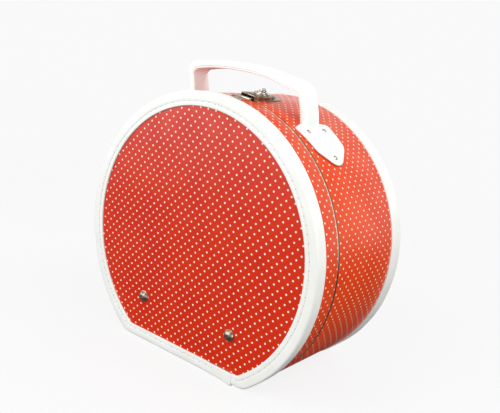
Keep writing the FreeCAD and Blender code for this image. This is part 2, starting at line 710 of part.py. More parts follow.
def strap_chain(sketch, depth):
    """One side of the handle's profile: leg, bend, crown, bend and leg, at a depth into the strap."""
    lean = math.radians(value("handle_lean"))
    bend = value("shoulder_radius")
    crown = value("crown_radius")
    deep = value(depth)
    foot_x = value("handle_span")
    foot_y = value(HANDLE_FOOT)
    crown_y = value(HANDLE_TOP) - crown
    middle_x = foot_x - bend
    for step in range(SETTLING_STEPS):
        middle_y = crown_y + math.sqrt((crown - bend) ** 2 - middle_x ** 2)
        level = foot_x * math.cos(lean) + foot_y * math.sin(lean) - bend
        middle_x = (level - middle_y * math.sin(lean)) / math.cos(lean)
    turn = math.atan2(middle_y - crown_y, middle_x)
    inner_foot = foot_x - deep / math.cos(lean)
    knee_x = middle_x + (bend - deep) * math.cos(lean)
    knee_y = middle_y + (bend - deep) * math.sin(lean)
    edges = [sketch.addGeometry(shape) for shape in (
        line((inner_foot, foot_y), (knee_x, knee_y)),
        arc(middle_x, middle_y, bend - deep, lean, turn),
        arc(0, crown_y, crown - deep, turn, math.pi - turn),
        arc(-middle_x, middle_y, bend - deep, math.pi - turn, math.pi - lean),
        line((-knee_x, knee_y), (-inner_foot, foot_y)))]
    right_leg, right_bend, top, left_bend, left_leg = edges
    for first, second in zip(edges, edges[1:]):
        sketch.addConstraint(Sketcher.Constraint("Tangent", first, 2, second, 1))
    sketch.addConstraint(Sketcher.Constraint("Equal", right_bend, left_bend))
    sketch.addConstraint(Sketcher.Constraint("PointOnObject", top, 3, -2))
    bind(sketch, "Radius", right_bend, size=f"shoulder_radius - ({depth})")
    bind(sketch, "Radius", top, size=f"crown_radius - ({depth})")
    bind(sketch, "DistanceY", top, 3, -1, 1, size=f"crown_radius - {HANDLE_TOP}")
    foot = f"handle_span - ({depth}) / cos(handle_lean)"
    bind(sketch, "DistanceX", -1, 1, right_leg, 1, size=foot)
    bind(sketch, "DistanceX", left_leg, 2, -1, 1, size=foot)
    bind(sketch, "DistanceY", -1, 1, right_leg, 1, size=HANDLE_FOOT)
    bind(sketch, "DistanceY", -1, 1, left_leg, 2, size=HANDLE_FOOT)
    for leg, angle in ((right_leg, 90 + value("handle_lean")), (left_leg, -90 - value("handle_lean"))):
        sketch.addConstraint(Sketcher.Constraint("Angle", leg, math.radians(angle)))
    return right_leg, left_leg


def strap(name, outer, inner, width):
    """A bridge-shaped strip between two depths of the handle's profile, standing on the hoop."""
    body = face_body(name + "_blank")
    sketch = new_sketch(body, "XZ_Plane", f"({width}) / 2 - {HANDLE_DEPTH}")
    outer_right, outer_left = strap_chain(sketch, outer)
    inner_right, inner_left = strap_chain(sketch, inner)
    for first, first_end, second, second_end in ((outer_right, 1, inner_right, 1),
                                                 (outer_left, 2, inner_left, 2)):
        start = sketch.getPoint(first, first_end)
        end = sketch.getPoint(second, second_end)
        closing = sketch.addGeometry(Part.LineSegment(start, end))
        sketch.addConstraint(Sketcher.Constraint("Coincident", closing, 1, first, first_end))
        sketch.addConstraint(Sketcher.Constraint("Coincident", closing, 2, second, second_end))
    pad(body, sketch, width, reverse=True)
    drum = hoop_drum(name + "_seat", "hoop_radius", "0", "case_depth")
    return cut(name + "_trimmed", body, drum)


def handle():
    strip = strap("core", "core_inset", "core_inset + core_thick", "core_width")
    pieces = [strip]
    for side_name, side in SIDES:
        for mark, width, start in (("neck", "core_width", NECK_START), ("foot", "foot_width", FOOT_START)):
            first = start if side > 0 else f"-{FOOT_END}"
            pieces.append(arc_plate(f"{mark}_{side_name}", "hoop_radius", "hoop_radius + foot_thick",
                                    f"{HANDLE_DEPTH} - {width} / 2", f"{HANDLE_DEPTH} + {width} / 2",
                                    first, f"{FOOT_END} - {start}"))
    core = keep(cut("handle_core", fuse("core_whole", pieces), base_cuts), "handle_core")
    padding = strap("handle_cover", "0", "handle_thick", "handle_width")
    keep(cut("handle_cover", padding, core), "handle_cover")
    return core, padding


# The curved blank reaches this many degrees past the shield's middle each way.
SHIELD_SWEEP = "20"


def shield(name, side, core, padding):
    """White shield over the foot of one leg, curved to the hoop."""
    body = new_body(name + "_blank", radial_frame(f"{side} * {SHIELD_MIDDLE}", HANDLE_DEPTH))
    sketch = new_sketch(body, "XY_Plane", "hoop_radius - shield_room")
    half = ((f"{side} * (-shield_half)", "shield_neck"),
            (f"{side} * (shield_ear_drop - shield_half)", "shield_ear"),
            (f"{side} * (shield_waist_drop - shield_half)", "shield_waist"))
    point = (f"{side} * (shield_point_drop - shield_half)", "0")
    mirrored = tuple((x, f"-{y}") for x, y in reversed(half))
    draw_polygon(sketch, half + (point,) + mirrored)
    feature = pad(body, sketch, "2 * shield_room")
    doc.recompute()
    for corners, radius in ((half[2:] + mirrored[:1], "shield_round"), ((point,), "shield_tip")):
        feature = round_corners(body, feature, corners, radius)
    shell = arc_plate(name + "_shell", "hoop_radius", "hoop_radius + shield_thick",
                      f"{HANDLE_DEPTH} - shield_ear - cut_past", f"{HANDLE_DEPTH} + shield_ear + cut_past",
                      f"{side} * {SHIELD_MIDDLE} - {SHIELD_SWEEP}", f"2 * {SHIELD_SWEEP}")
    curved = doc.addObject("Part::Common", name + "_curved")
    curved.Base = shell
    curved.Tool = body
    clear = cut(name + "_clear", cut(name + "_legged", curved, padding), core)
    keep(cut(name, clear, base_cuts), name)


def round_corners(body, feature, corners, radius):
    """Round the upright edges of a pad that stand on these corners."""
    spots = [(value(x), value(y)) for x, y in corners]
    names = []
    for number, edge in enumerate(feature.Shape.Edges, start=1):
        bounds = edge.BoundBox
        if bounds.ZLength < 1:
            continue
        if any(math.hypot(bounds.XMin - x, bounds.YMin - y) < 0.01 for x, y in spots):
            names.append(f"Edge{number}")
    fillet = body.newObject("PartDesign::Fillet", body.Name + "_round")
    fillet.Base = (feature, names)
    fillet.setExpression("Radius", formula(radius))
    doc.recompute()
    return fillet


core, padding = handle()
for side_name, side in SIDES:
    shield(f"handle_shield_{side_name}", side, core, padding)
SHIELD_TOP = "hoop_radius + shield_thick"
handle_rivets = [rivet(name, frame, RIVET_TAIL, SHIELD_TOP, x, y) for name, frame, x, y in HANDLE_SPOTS]
keep(group("handle_rivets", handle_rivets), "handle_rivets")
handle_washers = [washer(name + "_washer", frame, RIVET_TAIL, x, y) for name, frame, x, y in HANDLE_SPOTS]
keep(group("handle_washers", handle_washers), "handle_washers")


# Lock: levels above the hoop's centre, along the lock frame's Z

PLATE_TOP = "(hoop_radius + plate_thick)"
TONGUE_LOW = f"({PLATE_TOP} + tongue_float)"
TONGUE_HIGH = f"({TONGUE_LOW} + tongue_thick)"
LEVER_LOW = f"({TONGUE_HIGH} + lever_float)"
LEVER_HIGH = f"({LEVER_LOW} + lever_thick)"
CASE_INSIDE = f"({LEVER_HIGH} + lever_clear)"
CASE_TOP = f"({CASE_INSIDE} + case_wall)"
BOSS_TOP = f"({CASE_TOP} + boss_rise + boss_rise_top)"
KNOB_LOW = f"({BOSS_TOP} + knob_gap)"
KNOB_TOP = f"({KNOB_LOW} + knob_rise)"


def round_ended(name, half, near, far, low, high):
    """A flat bar whose far end is a half circle, lying along the lock's middle."""
    ahead = value(far) > value(near)
    middle = f"({far}) - ({half})" if ahead else f"({far}) + ({half})"
    straight = (near, middle) if ahead else (middle, near)
    bar = block(name + "_bar", lock_frame(), (f"-({half})", half), straight, (low, high))
    end = cylinder(name + "_end", lock_frame(), half, low, high, "0", middle)
    return fuse(name + "_plan", [bar, end])


def striker_plate():
    frame = lock_frame()
    plate = round_ended("striker", "striker_half", "-roll_depth", f"-{STRIKER_REACH}",
                        "hoop_radius - cut_past", "hoop_radius + striker_thick")
    roll = rod("striker_roll", frame, "roll_radius", "-striker_half", "striker_half",
               "-roll_depth", f"{TONGUE_HIGH} - roll_radius")
    tongue = block("striker_tongue", frame, ("-tongue_left", "tongue_right"),
                   ("-roll_depth", TONGUE_REACH), (TONGUE_LOW, TONGUE_HIGH))
    notch = block("striker_notch", frame, ("-tongue_left - cut_past", "pad_half + pad_clear + notch_spare"),
                  ("spindle_depth - pad_far - pad_clear", "spindle_depth - pad_near + pad_clear"),
                  (f"{TONGUE_LOW} - cut_past", f"{TONGUE_HIGH} + cut_past"))
    seat = hoop_drum("striker_seat", "hoop_radius", "0", "case_depth")
    holes = group("striker_holes", [notch] + drills("striker_plate", STRIKER_SPOTS, "hoop_radius - cut_past",
                                                    "hoop_radius + striker_thick + cut_past"))
    seated = cut("striker_seated", fuse("striker_whole", [plate, roll, tongue]), seat)
    return keep(cut("striker_plate", seated, holes), "striker_plate")


def lock_base_plate():
    plate = round_ended("lock_plate", "plate_half", "plate_front", "plate_back",
                        "hoop_radius - cut_past", PLATE_TOP)
    seat = hoop_drum("lock_plate_seat", "hoop_radius", "0", "case_depth")
    holes = group("lock_plate_holes", drills("lock_plate", LOCK_SPOTS, "hoop_radius - cut_past",
                                             f"{PLATE_TOP} + cut_past"))
    return keep(cut("lock_base_plate", cut("lock_plate_seated", plate, seat), holes), "lock_base_plate")


def lock_case():
    shell = round_ended("lock_shell", "case_half", "plate_front", "case_back", PLATE_TOP, CASE_TOP)
    room = round_ended("lock_room", "case_half - case_wall", "plate_front - cut_past",
                       "case_back - case_wall", PLATE_TOP, CASE_INSIDE)
    hole = cylinder("lock_hole", lock_frame(), "spindle_radius + running_clear", CASE_INSIDE,
                    CASE_TOP, "0", "spindle_depth")
    return keep(cut("lock_case", cut("lock_hollow", shell, room), hole), "lock_case")


def spindle_frame():
    """Z runs outwards along the knob's axis."""
    point = FreeCAD.Vector(0, value("spindle_depth"), 0)
    return lock_frame().multiply(FreeCAD.Placement(point, FreeCAD.Rotation()))


SPINDLE = spindle_frame()


def lock_boss():
    """Stepped round boss with softened edges, bored for the spindle."""
    bore = "spindle_radius + running_clear"
    step_low = f"{CASE_TOP} + boss_rise"
    points = ((bore, CASE_TOP), ("boss_radius", CASE_TOP), ("boss_radius", f"{step_low} - large_chamfer"),
              ("boss_radius - large_chamfer", step_low), ("boss_step", step_low),
              ("boss_step", f"{BOSS_TOP} - small_chamfer"), ("boss_step - small_chamfer", BOSS_TOP),
              (bore, BOSS_TOP))
    return keep(turned("lock_boss", SPINDLE, points), "lock_boss")


def lock_knob():
    """Knob with a thumb wing, in one piece with its spindle."""
    points = (("0", LEVER_LOW), ("spindle_radius", LEVER_LOW), ("spindle_radius", KNOB_LOW),
              ("knob_radius - small_chamfer", KNOB_LOW), ("knob_radius", f"{KNOB_LOW} + small_chamfer"),
              ("knob_radius", f"{KNOB_TOP} - large_chamfer"), ("knob_radius - large_chamfer", KNOB_TOP),
              ("0", KNOB_TOP))
    turned_part = turned("knob_turned", SPINDLE, points)
    wing = block("knob_wing", SPINDLE, ("-wing_half", "wing_half"),
                 ("-knob_radius + wing_inset", "knob_radius - wing_inset"),
                 (f"{KNOB_TOP} - wing_sink", f"{KNOB_TOP} + wing_rise"))
    return keep(fuse("lock_knob", [turned_part, wing]), "lock_knob")


def latch_lever():
    """Lever on the spindle, with a pad that drops into the tongue's notch when turned."""
    turn = FreeCAD.Rotation(FreeCAD.Vector(0, 0, 1), -value("lever_rest"))
    frame = SPINDLE.multiply(FreeCAD.Placement(FreeCAD.Vector(), turn))
    arm = block("lever_arm", frame, ("-lever_half", "lever_half"), ("-pad_far", "0"), (LEVER_LOW, LEVER_HIGH))
    hub = cylinder("lever_hub", frame, "hub_radius", LEVER_LOW, LEVER_HIGH)
    foot = block("lever_pad", frame, ("-pad_half", "pad_half"), ("-pad_far", "-pad_near"),
                 (TONGUE_LOW, LEVER_HIGH))
    bore = cylinder("lever_bore", frame, "spindle_radius + fixed_clear", TONGUE_LOW,
                    f"{LEVER_HIGH} + cut_past")
    return keep(cut("latch_lever", fuse("lever_whole", [arm, hub, foot]), bore), "latch_lever")


striker_plate()
lock_base_plate()
lock_case()
lock_boss()
lock_knob()
latch_lever()
striker_top = "hoop_radius + striker_thick"
striker_rivets = [rivet(name, frame, STRIKER_TAIL, striker_top, x, y) for name, frame, x, y in STRIKER_SPOTS]
keep(group("striker_rivets", striker_rivets), "striker_rivets")
lock_rivets = [rivet(name, frame, RIVET_TAIL, PLATE_TOP, x, y, rise)
               for (name, frame, x, y), rise in zip(LOCK_SPOTS, ("rivet_rise", "inner_rivet_rise"))]
keep(group("lock_rivets", lock_rivets), "lock_rivets")
for label, spots, low in (("striker_washers", STRIKER_SPOTS, STRIKER_TAIL),
                          ("lock_washers", LOCK_SPOTS, RIVET_TAIL)):
    discs = [washer(name + "_washer", frame, low, x, y) for name, frame, x, y in spots]
    keep(group(label, discs), label)


# Check and write

doc.recompute()
faulty = [item.Name for item in doc.Objects if "Invalid" in item.State or "Error" in item.State]
if faulty:
    raise RuntimeError("failed to build: " + ", ".join(faulty))
for part in KEPT:
    if part.Shape.isNull() or not part.Shape.isValid() or not part.Shape.Solids:
        raise RuntimeError("bad shape: " + part.Label)
os.makedirs("parts", exist_ok=True)
for part in KEPT:
    part.Shape.exportStep(os.path.join("parts", part.Label + ".step"))
    bounds = part.Shape.BoundBox
    print(f"{part.Label:26s} {len(part.Shape.Solids):3d} solids {part.Shape.Volume:12.1f} mm3  "
          f"x {bounds.XMin:8.2f} {bounds.XMax:8.2f}  y {bounds.YMin:8.2f} {bounds.YMax:8.2f}  "
          f"z {bounds.ZMin:8.2f} {bounds.ZMax:8.2f}")
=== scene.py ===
import math

import bmesh
import bpy
from mathutils import Matrix, Vector


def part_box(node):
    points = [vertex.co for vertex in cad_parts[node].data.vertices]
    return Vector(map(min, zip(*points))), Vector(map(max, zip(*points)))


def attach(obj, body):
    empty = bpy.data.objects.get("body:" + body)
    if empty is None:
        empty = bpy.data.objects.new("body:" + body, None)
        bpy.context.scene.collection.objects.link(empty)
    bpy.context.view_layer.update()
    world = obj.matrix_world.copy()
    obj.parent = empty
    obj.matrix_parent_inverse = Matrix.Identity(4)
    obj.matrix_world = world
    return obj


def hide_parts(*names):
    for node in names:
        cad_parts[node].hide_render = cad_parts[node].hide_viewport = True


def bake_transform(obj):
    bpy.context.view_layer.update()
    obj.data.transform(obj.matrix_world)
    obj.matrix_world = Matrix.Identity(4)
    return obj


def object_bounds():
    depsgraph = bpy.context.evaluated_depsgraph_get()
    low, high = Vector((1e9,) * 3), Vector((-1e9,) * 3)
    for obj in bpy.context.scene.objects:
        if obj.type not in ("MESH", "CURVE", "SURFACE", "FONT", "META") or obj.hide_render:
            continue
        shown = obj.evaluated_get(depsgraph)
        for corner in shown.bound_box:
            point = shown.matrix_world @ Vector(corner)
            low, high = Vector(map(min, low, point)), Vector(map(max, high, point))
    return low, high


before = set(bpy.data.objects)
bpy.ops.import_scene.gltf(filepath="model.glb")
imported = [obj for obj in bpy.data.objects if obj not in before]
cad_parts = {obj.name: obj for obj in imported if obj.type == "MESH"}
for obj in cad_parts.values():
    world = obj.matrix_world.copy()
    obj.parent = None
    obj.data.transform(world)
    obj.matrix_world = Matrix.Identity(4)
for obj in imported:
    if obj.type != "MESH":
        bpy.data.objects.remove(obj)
CAD_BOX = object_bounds()

# Round hat box in dotted vinyl with white bindings.  Metres, X to the right, Y to the back, Z up.
# Places round the case are given by an inset from the covered hoop and a depth behind the front cover.

MM = 0.001
RADIUS = 150 * MM           # covered hoop
DROP = 123.8 * MM           # hoop centre down to the covered base
CORNER = 16 * MM            # corners between hoop and base
LIP = 13 * MM               # bindings seen on the faces
SILL = 10.3 * MM            # the same along the flat base
LIP_CORNER = 2.5 * MM       # corners of a lip's inner edge
BINDING = 1.4 * MM          # thickness of the bindings
COVER = 0.6 * MM            # thickness of the vinyl
WALL = 3.6 * MM             # vinyl and board
SHELL = 4.4 * MM            # vinyl, board and lining

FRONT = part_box("lid_face_cover")[0].y
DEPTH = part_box("back_cover")[1].y - FRONT
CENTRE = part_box("lid_face_cover")[0].z + DROP
LID_COVER_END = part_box("lid_hoop_cover")[1].y - FRONT
BASE_COVER_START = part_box("base_hoop_cover")[0].y - FRONT
FRONT_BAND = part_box("lid_binding")[1].y - FRONT
BACK_BAND = DEPTH - (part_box("back_binding")[0].y - FRONT)
HANDLE_MIDDLE = sum(corner.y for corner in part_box("handle_cover")) / 2
STUD_SIDE = 61 * MM         # face studs, from the middle
STUD_LEVEL = -77 * MM       # face studs, from the hoop's centre

SIDES = (("left", -1), ("right", 1))


# Node trees

def node(tree, kind, sockets=(), **settings):
    """Add a node, choose its settings and feed its sockets with numbers or other outputs."""
    made = tree.nodes.new(kind)
    for name, setting in settings.items():
        setattr(made, name, setting)
    pairs = sockets.items() if isinstance(sockets, dict) else enumerate(sockets)
    for key, source in pairs:
        if source is None:
            continue
        if isinstance(source, bpy.types.NodeSocket):
            tree.links.new(source, made.inputs[key])
        else:
            made.inputs[key].default_value = source
    return made


def sums(tree, operation, *sources):
    """The result of one arithmetic node."""
    return node(tree, "ShaderNodeMath", sources, operation=operation).outputs[0]


def blend_colours(tree, share, first, second):
    """A colour between two others."""
    return node(tree, "ShaderNodeMix", {0: share, 6: first, 7: second}, data_type="RGBA").outputs[2]


def ramp(tree, source, low, high, to_low=0.0, to_high=1.0):
    """Smoothly map a value from one range to another."""
    made = node(tree, "ShaderNodeMapRange", (source, low, high, to_low, to_high),
                interpolation_type="SMOOTHSTEP")
    return made.outputs[0]


def noise(tree, place, scale, detail, roughness=0.5):
    """Cloudy noise at a place."""
    return node(tree, "ShaderNodeTexNoise", {
        "Vector": place, "Scale": scale, "Detail": detail, "Roughness": roughness}).outputs["Fac"]


def new_tree(name, kind, inputs, outputs):
    """An empty node group with named sockets, and its two end nodes."""
    tree = bpy.data.node_groups.new(name, kind)
    for label, socket_type, default in inputs:
        socket = tree.interface.new_socket(name=label, in_out="INPUT", socket_type=socket_type)
        if default is not None:
            socket.default_value = default
    for label, socket_type in outputs:
        tree.interface.new_socket(name=label, in_out="OUTPUT", socket_type=socket_type)
    return tree, tree.nodes.new("NodeGroupInput").outputs, tree.nodes.new("NodeGroupOutput")


FLOAT = "NodeSocketFloat"
VECTOR = "NodeSocketVector"


def pin_dot_group():
    """Printed dots: one at each corner and one in the middle of every square."""
    tree, given, result = new_tree("pin_dots", "ShaderNodeTree", (
        ("Place", VECTOR, None), ("Pitch Across", FLOAT, 0.01), ("Pitch Along", FLOAT, 0.01),
        ("Dot Radius", FLOAT, 0.001), ("Edge", FLOAT, 0.0001)), (("Mask", FLOAT),))
    ragged = noise(tree, given["Place"], 1800.0, 1.0)
    split = node(tree, "ShaderNodeSeparateXYZ", (given["Place"],))
    distances = []
    for shift in (0.5, 0.0):
        squares = []
        for axis, pitch in ((0, given["Pitch Across"]), (1, given["Pitch Along"])):
            count = sums(tree, "ADD", sums(tree, "DIVIDE", split.outputs[axis], pitch), shift)
            away = sums(tree, "SUBTRACT", sums(tree, "FRACT", count), 0.5)
            away = sums(tree, "MULTIPLY", away, pitch)
            squares.append(sums(tree, "MULTIPLY", away, away))
        distances.append(sums(tree, "SQRT", sums(tree, "ADD", *squares)))
    nearest = sums(tree, "MINIMUM", *distances)
    rough_edge = sums(tree, "MULTIPLY", sums(tree, "SUBTRACT", ragged, 0.5), 0.0003)
    nearest = sums(tree, "ADD", nearest, rough_edge)
    low = sums(tree, "SUBTRACT", given["Dot Radius"], given["Edge"])
    high = sums(tree, "ADD", given["Dot Radius"], given["Edge"])
    tree.links.new(ramp(tree, nearest, low, high, 1.0, 0.0), result.inputs["Mask"])
    return tree


def grain_group():
    """Pebbled surface of coated cloth, with broad uneven patches."""
    tree, given, result = new_tree("vinyl_grain", "ShaderNodeTree", (
        ("Place", VECTOR, None), ("Pebble", FLOAT, 0.0008), ("Patch", FLOAT, 0.04)),
        (("Height", FLOAT), ("Mottle", FLOAT)))
    pebbles = node(tree, "ShaderNodeTexVoronoi", {
        "Vector": given["Place"], "Scale": sums(tree, "DIVIDE", 1.0, given["Pebble"]), "Smoothness": 0.6},
        feature="SMOOTH_F1")
    creases = noise(tree, given["Place"], sums(tree, "DIVIDE", 0.4, given["Pebble"]), 4.0)
    patches = noise(tree, given["Place"], sums(tree, "DIVIDE", 1.0, given["Patch"]), 3.0)
    height = sums(tree, "ADD", pebbles.outputs["Distance"], sums(tree, "MULTIPLY", creases, 0.8))
    tree.links.new(height, result.inputs["Height"])
    tree.links.new(ramp(tree, patches, 0.3, 0.7), result.inputs["Mottle"])
    return tree


def weave_group():
    """Plain weave: threads pass over and under each other in turn."""
    tree, given, result = new_tree("plain_weave", "ShaderNodeTree", (
        ("Place", VECTOR, None), ("Thread", FLOAT, 0.0006)), (("Height", FLOAT), ("Shade", FLOAT)))
    split = node(tree, "ShaderNodeSeparateXYZ", (given["Place"],))
    steps = [sums(tree, "DIVIDE", split.outputs[axis], given["Thread"]) for axis in (0, 1)]
    waves = [sums(tree, "SINE", sums(tree, "MULTIPLY", step, math.pi)) for step in steps]
    rounds = [sums(tree, "ABSOLUTE", wave) for wave in waves]
    cells = sums(tree, "ADD", *[sums(tree, "FLOOR", step) for step in steps])
    over = sums(tree, "MODULO", sums(tree, "ABSOLUTE", cells), 2.0)
    warp = sums(tree, "MULTIPLY", rounds[0], over)
    weft = sums(tree, "MULTIPLY", rounds[1], sums(tree, "SUBTRACT", 1.0, over))
    tree.links.new(sums(tree, "ADD", warp, weft), result.inputs["Height"])
    tree.links.new(noise(tree, given["Place"], 260.0, 3.0), result.inputs["Shade"])
    return tree


def tarnish_group():
    """Dull patches and fine scratches on plated metal."""
    tree, given, result = new_tree("tarnish", "ShaderNodeTree", (
        ("Place", VECTOR, None), ("Patch", FLOAT, 0.004)), (("Dull", FLOAT), ("Scratch", FLOAT)))
    patches = noise(tree, given["Place"], sums(tree, "DIVIDE", 1.0, given["Patch"]), 5.0, 0.65)
    stretched = node(tree, "ShaderNodeMapping", {"Vector": given["Place"], "Scale": (3000.0, 250.0, 900.0)})
    lines = noise(tree, stretched.outputs[0], 1.0, 2.0)
    tree.links.new(ramp(tree, patches, 0.42, 0.68), result.inputs["Dull"])
    tree.links.new(ramp(tree, lines, 0.45, 0.75), result.inputs["Scratch"])
    return tree


PIN_DOTS = pin_dot_group()
GRAIN = grain_group()
WEAVE = weave_group()
TARNISH = tarnish_group()


# Finishes

def paint(red, green, blue):
    """A colour mixed on a screen, as the light it gives."""
    return tuple((part / 255) ** 2.2 for part in (red, green, blue)) + (1.0,)


def finish(name, **constants):
    """A material with one Principled shader whose even values are set on its own sockets."""
    material = bpy.data.materials.new(name)
    material.use_nodes = True
    tree = material.node_tree
    shader = tree.nodes["Principled BSDF"]
    for socket, number in constants.items():
        shader.inputs[socket.replace("_", " ")].default_value = number
    return material, tree, shader


def feed(shader, socket, source):
    """Join a node's output to one of the shader's sockets."""
    shader.id_data.links.new(source, shader.inputs[socket])


def object_place(tree):
    """Where a point lies in the box's own frame."""
    return node(tree, "ShaderNodeTexCoord").outputs["Object"]


def surface_place(tree):
    """Distances along and across a piece, from its own map."""
    return node(tree, "ShaderNodeUVMap", uv_map="UVMap").outputs[0]


def flat_place(tree, level):
    """The box's X, and its Z from a level, as a flat map."""
    split = node(tree, "ShaderNodeSeparateXYZ", (object_place(tree),))
    up = sums(tree, "SUBTRACT", split.outputs[2], level)
    return node(tree, "ShaderNodeCombineXYZ", (split.outputs[0], up, 0.0)).outputs[0]


def raise_surface(tree, shader, height, distance, strength):
    """Turn a height into the shader's surface relief."""
    bump = node(tree, "ShaderNodeBump", {"Height": height, "Distance": distance, "Strength": strength})
    feed(shader, "Normal", bump.outputs[0])


# Each vinyl has two reds that it wanders between, and the ink of its dots. The hoops take a lighter, warmer
# copy of the face's reds and dot ink: painted light, for the hoop catching more light than the face.
RED = (paint(205, 48, 3), paint(198, 41, 2), paint(248, 234, 220))
HOOP_RED_PAINTED_LIGHT = (paint(222, 70, 3), paint(214, 62, 2), paint(250, 222, 196))
DOT_RADIUS = 0.95 * MM
DOT_EDGE = 0.16 * MM


def dotted_vinyl(name, colours, flat, repeat, start, turn=0.0):
    """Glossy red vinyl with printed dots; flat pieces take the pattern from the box's X and Z."""
    material, tree, shader = finish(name, Coat_Roughness=0.2, Coat_IOR=1.5, Specular_IOR_Level=0.1)
    laid = node(tree, "ShaderNodeMapping", {
        "Vector": flat_place(tree, CENTRE) if flat else surface_place(tree),
        "Rotation": (0.0, 0.0, math.radians(turn)), "Location": (-start[0], -start[1], 0.0)}).outputs[0]
    dots = node(tree, "ShaderNodeGroup", {
        "Place": laid, "Pitch Across": repeat[0], "Pitch Along": repeat[1], "Dot Radius": DOT_RADIUS,
        "Edge": DOT_EDGE}, node_tree=PIN_DOTS)
    grain = node(tree, "ShaderNodeGroup", {"Place": object_place(tree), "Pebble": 0.7 * MM}, node_tree=GRAIN)
    mottle = grain.outputs["Mottle"]
    red = blend_colours(tree, mottle, *colours[:2])
    feed(shader, "Base Color", blend_colours(tree, dots.outputs[0], red, colours[2]))
    feed(shader, "Roughness", ramp(tree, mottle, 0.0, 1.0, 0.36, 0.46))
    coat = 0.85 if flat else 0.6
    feed(shader, "Coat Weight", ramp(tree, mottle, 0.0, 1.0, coat, coat - 0.15))
    ink = sums(tree, "MULTIPLY", dots.outputs[0], 0.35)
    raise_surface(tree, shader, sums(tree, "ADD", grain.outputs["Height"], ink), 0.03 * MM, 0.7)
    return material


def white_vinyl(name, colour, pebble, shine=0.35):
    """Pebbled white vinyl, very slightly soiled in patches."""
    material, tree, shader = finish(name, Coat_Roughness=0.3, Coat_Weight=0.25)
    grain = node(tree, "ShaderNodeGroup", {"Place": object_place(tree), "Pebble": pebble}, node_tree=GRAIN)
    soiled = tuple(part * share for part, share in zip(colour, (0.95, 0.94, 0.91, 1.0)))
    feed(shader, "Base Color", blend_colours(tree, grain.outputs["Mottle"], colour, soiled))
    feed(shader, "Roughness", ramp(tree, grain.outputs["Mottle"], 0.0, 1.0, shine, shine + 0.12))
    raise_surface(tree, shader, grain.outputs["Height"], 0.06 * MM, 0.7)
    return material


def plated(name, bright, dull, roughness, patch):
    """Plated metal with dull patches and fine scratches."""
    material, tree, shader = finish(name, Metallic=1.0)
    marks = node(tree, "ShaderNodeGroup", {"Place": object_place(tree), "Patch": patch}, node_tree=TARNISH)
    feed(shader, "Base Color", blend_colours(tree, marks.outputs["Dull"], bright, dull))
    wear = sums(tree, "ADD", marks.outputs["Dull"], sums(tree, "MULTIPLY", marks.outputs["Scratch"], 0.5))
    feed(shader, "Roughness", ramp(tree, wear, 0.0, 1.5, roughness, roughness + 0.22))
    raise_surface(tree, shader, marks.outputs["Scratch"], 0.02 * MM, 0.4)
    return material


def cloth(name, colour, shade, thread, flat):
    """Plain-woven cloth; flat linings take the weave from the box's X and Z."""
    material, tree, shader = finish(name, Sheen_Weight=0.3, Sheen_Roughness=0.5)
    place = flat_place(tree, 0.0) if flat else surface_place(tree)
    weave = node(tree, "ShaderNodeGroup", {"Place": place, "Thread": thread}, node_tree=WEAVE)
    # Darker between the threads: painted shade in the hollows of the weave, varied by random tone from the
    # noise.
    tone = sums(tree, "MULTIPLY", weave.outputs["Height"], weave.outputs["Shade"])
    feed(shader, "Base Color", blend_colours(tree, tone, shade, colour))
    feed(shader, "Roughness", ramp(tree, weave.outputs["Shade"], 0.0, 1.0, 0.75, 0.95))
    raise_surface(tree, shader, weave.outputs["Height"], 0.15 * MM, 0.8)
    return material


def pressed_board(name):
    """Brown hardboard with flecks of fibre."""
    material, tree, shader = finish(name)
    fibres = noise(tree, object_place(tree), 700.0, 6.0, 0.7)
    feed(shader, "Base Color", blend_colours(tree, fibres, paint(92, 60, 36), paint(150, 110, 72)))
    feed(shader, "Roughness", ramp(tree, fibres, 0.2, 0.8, 0.7, 0.95))
    raise_surface(tree, shader, fibres, 0.1 * MM, 0.6)
    return material


def twisted_thread(name, colour):
    """Sewing thread: fine diagonal twist."""
    material, tree, shader = finish(name, Sheen_Weight=0.2)
    twist = node(tree, "ShaderNodeTexWave", {"Vector": object_place(tree), "Scale": 900.0, "Distortion": 1.5},
                 bands_direction="DIAGONAL")
    # Darker diagonal bands: painted shade in the grooves of the twist.
    shade = tuple(part * 0.72 for part in colour[:3]) + (1.0,)
    feed(shader, "Base Color", blend_colours(tree, twist.outputs["Fac"], shade, colour))
    feed(shader, "Roughness", ramp(tree, twist.outputs["Fac"], 0.0, 1.0, 0.8, 0.6))
    raise_surface(tree, shader, twist.outputs["Fac"], 0.05 * MM, 0.7)
    return material


FACE_VINYL = dotted_vinyl("dotted_vinyl_face", RED, True, (9.94 * MM, 9.9 * MM), (1.02 * MM, 6.91 * MM), 0.8)
# The hoops use the lighter, warmer copy of the red and ink: painted light.
LID_VINYL = dotted_vinyl("dotted_vinyl_lid_hoop", HOOP_RED_PAINTED_LIGHT, False, (9.78 * MM, 10.8 * MM),
                         (7.55 * MM, -0.3 * MM))
BASE_VINYL = dotted_vinyl("dotted_vinyl_base_hoop", HOOP_RED_PAINTED_LIGHT, False, (9.84 * MM, 10.7 * MM),
                          (8.0 * MM, 8.2 * MM))
BACK_VINYL = dotted_vinyl("dotted_vinyl_back", RED, True, (9.9 * MM, 9.9 * MM), (0.0, 0.0), 0.6)
BINDING_VINYL = white_vinyl("white_vinyl_binding", paint(238, 240, 237), 0.6 * MM)
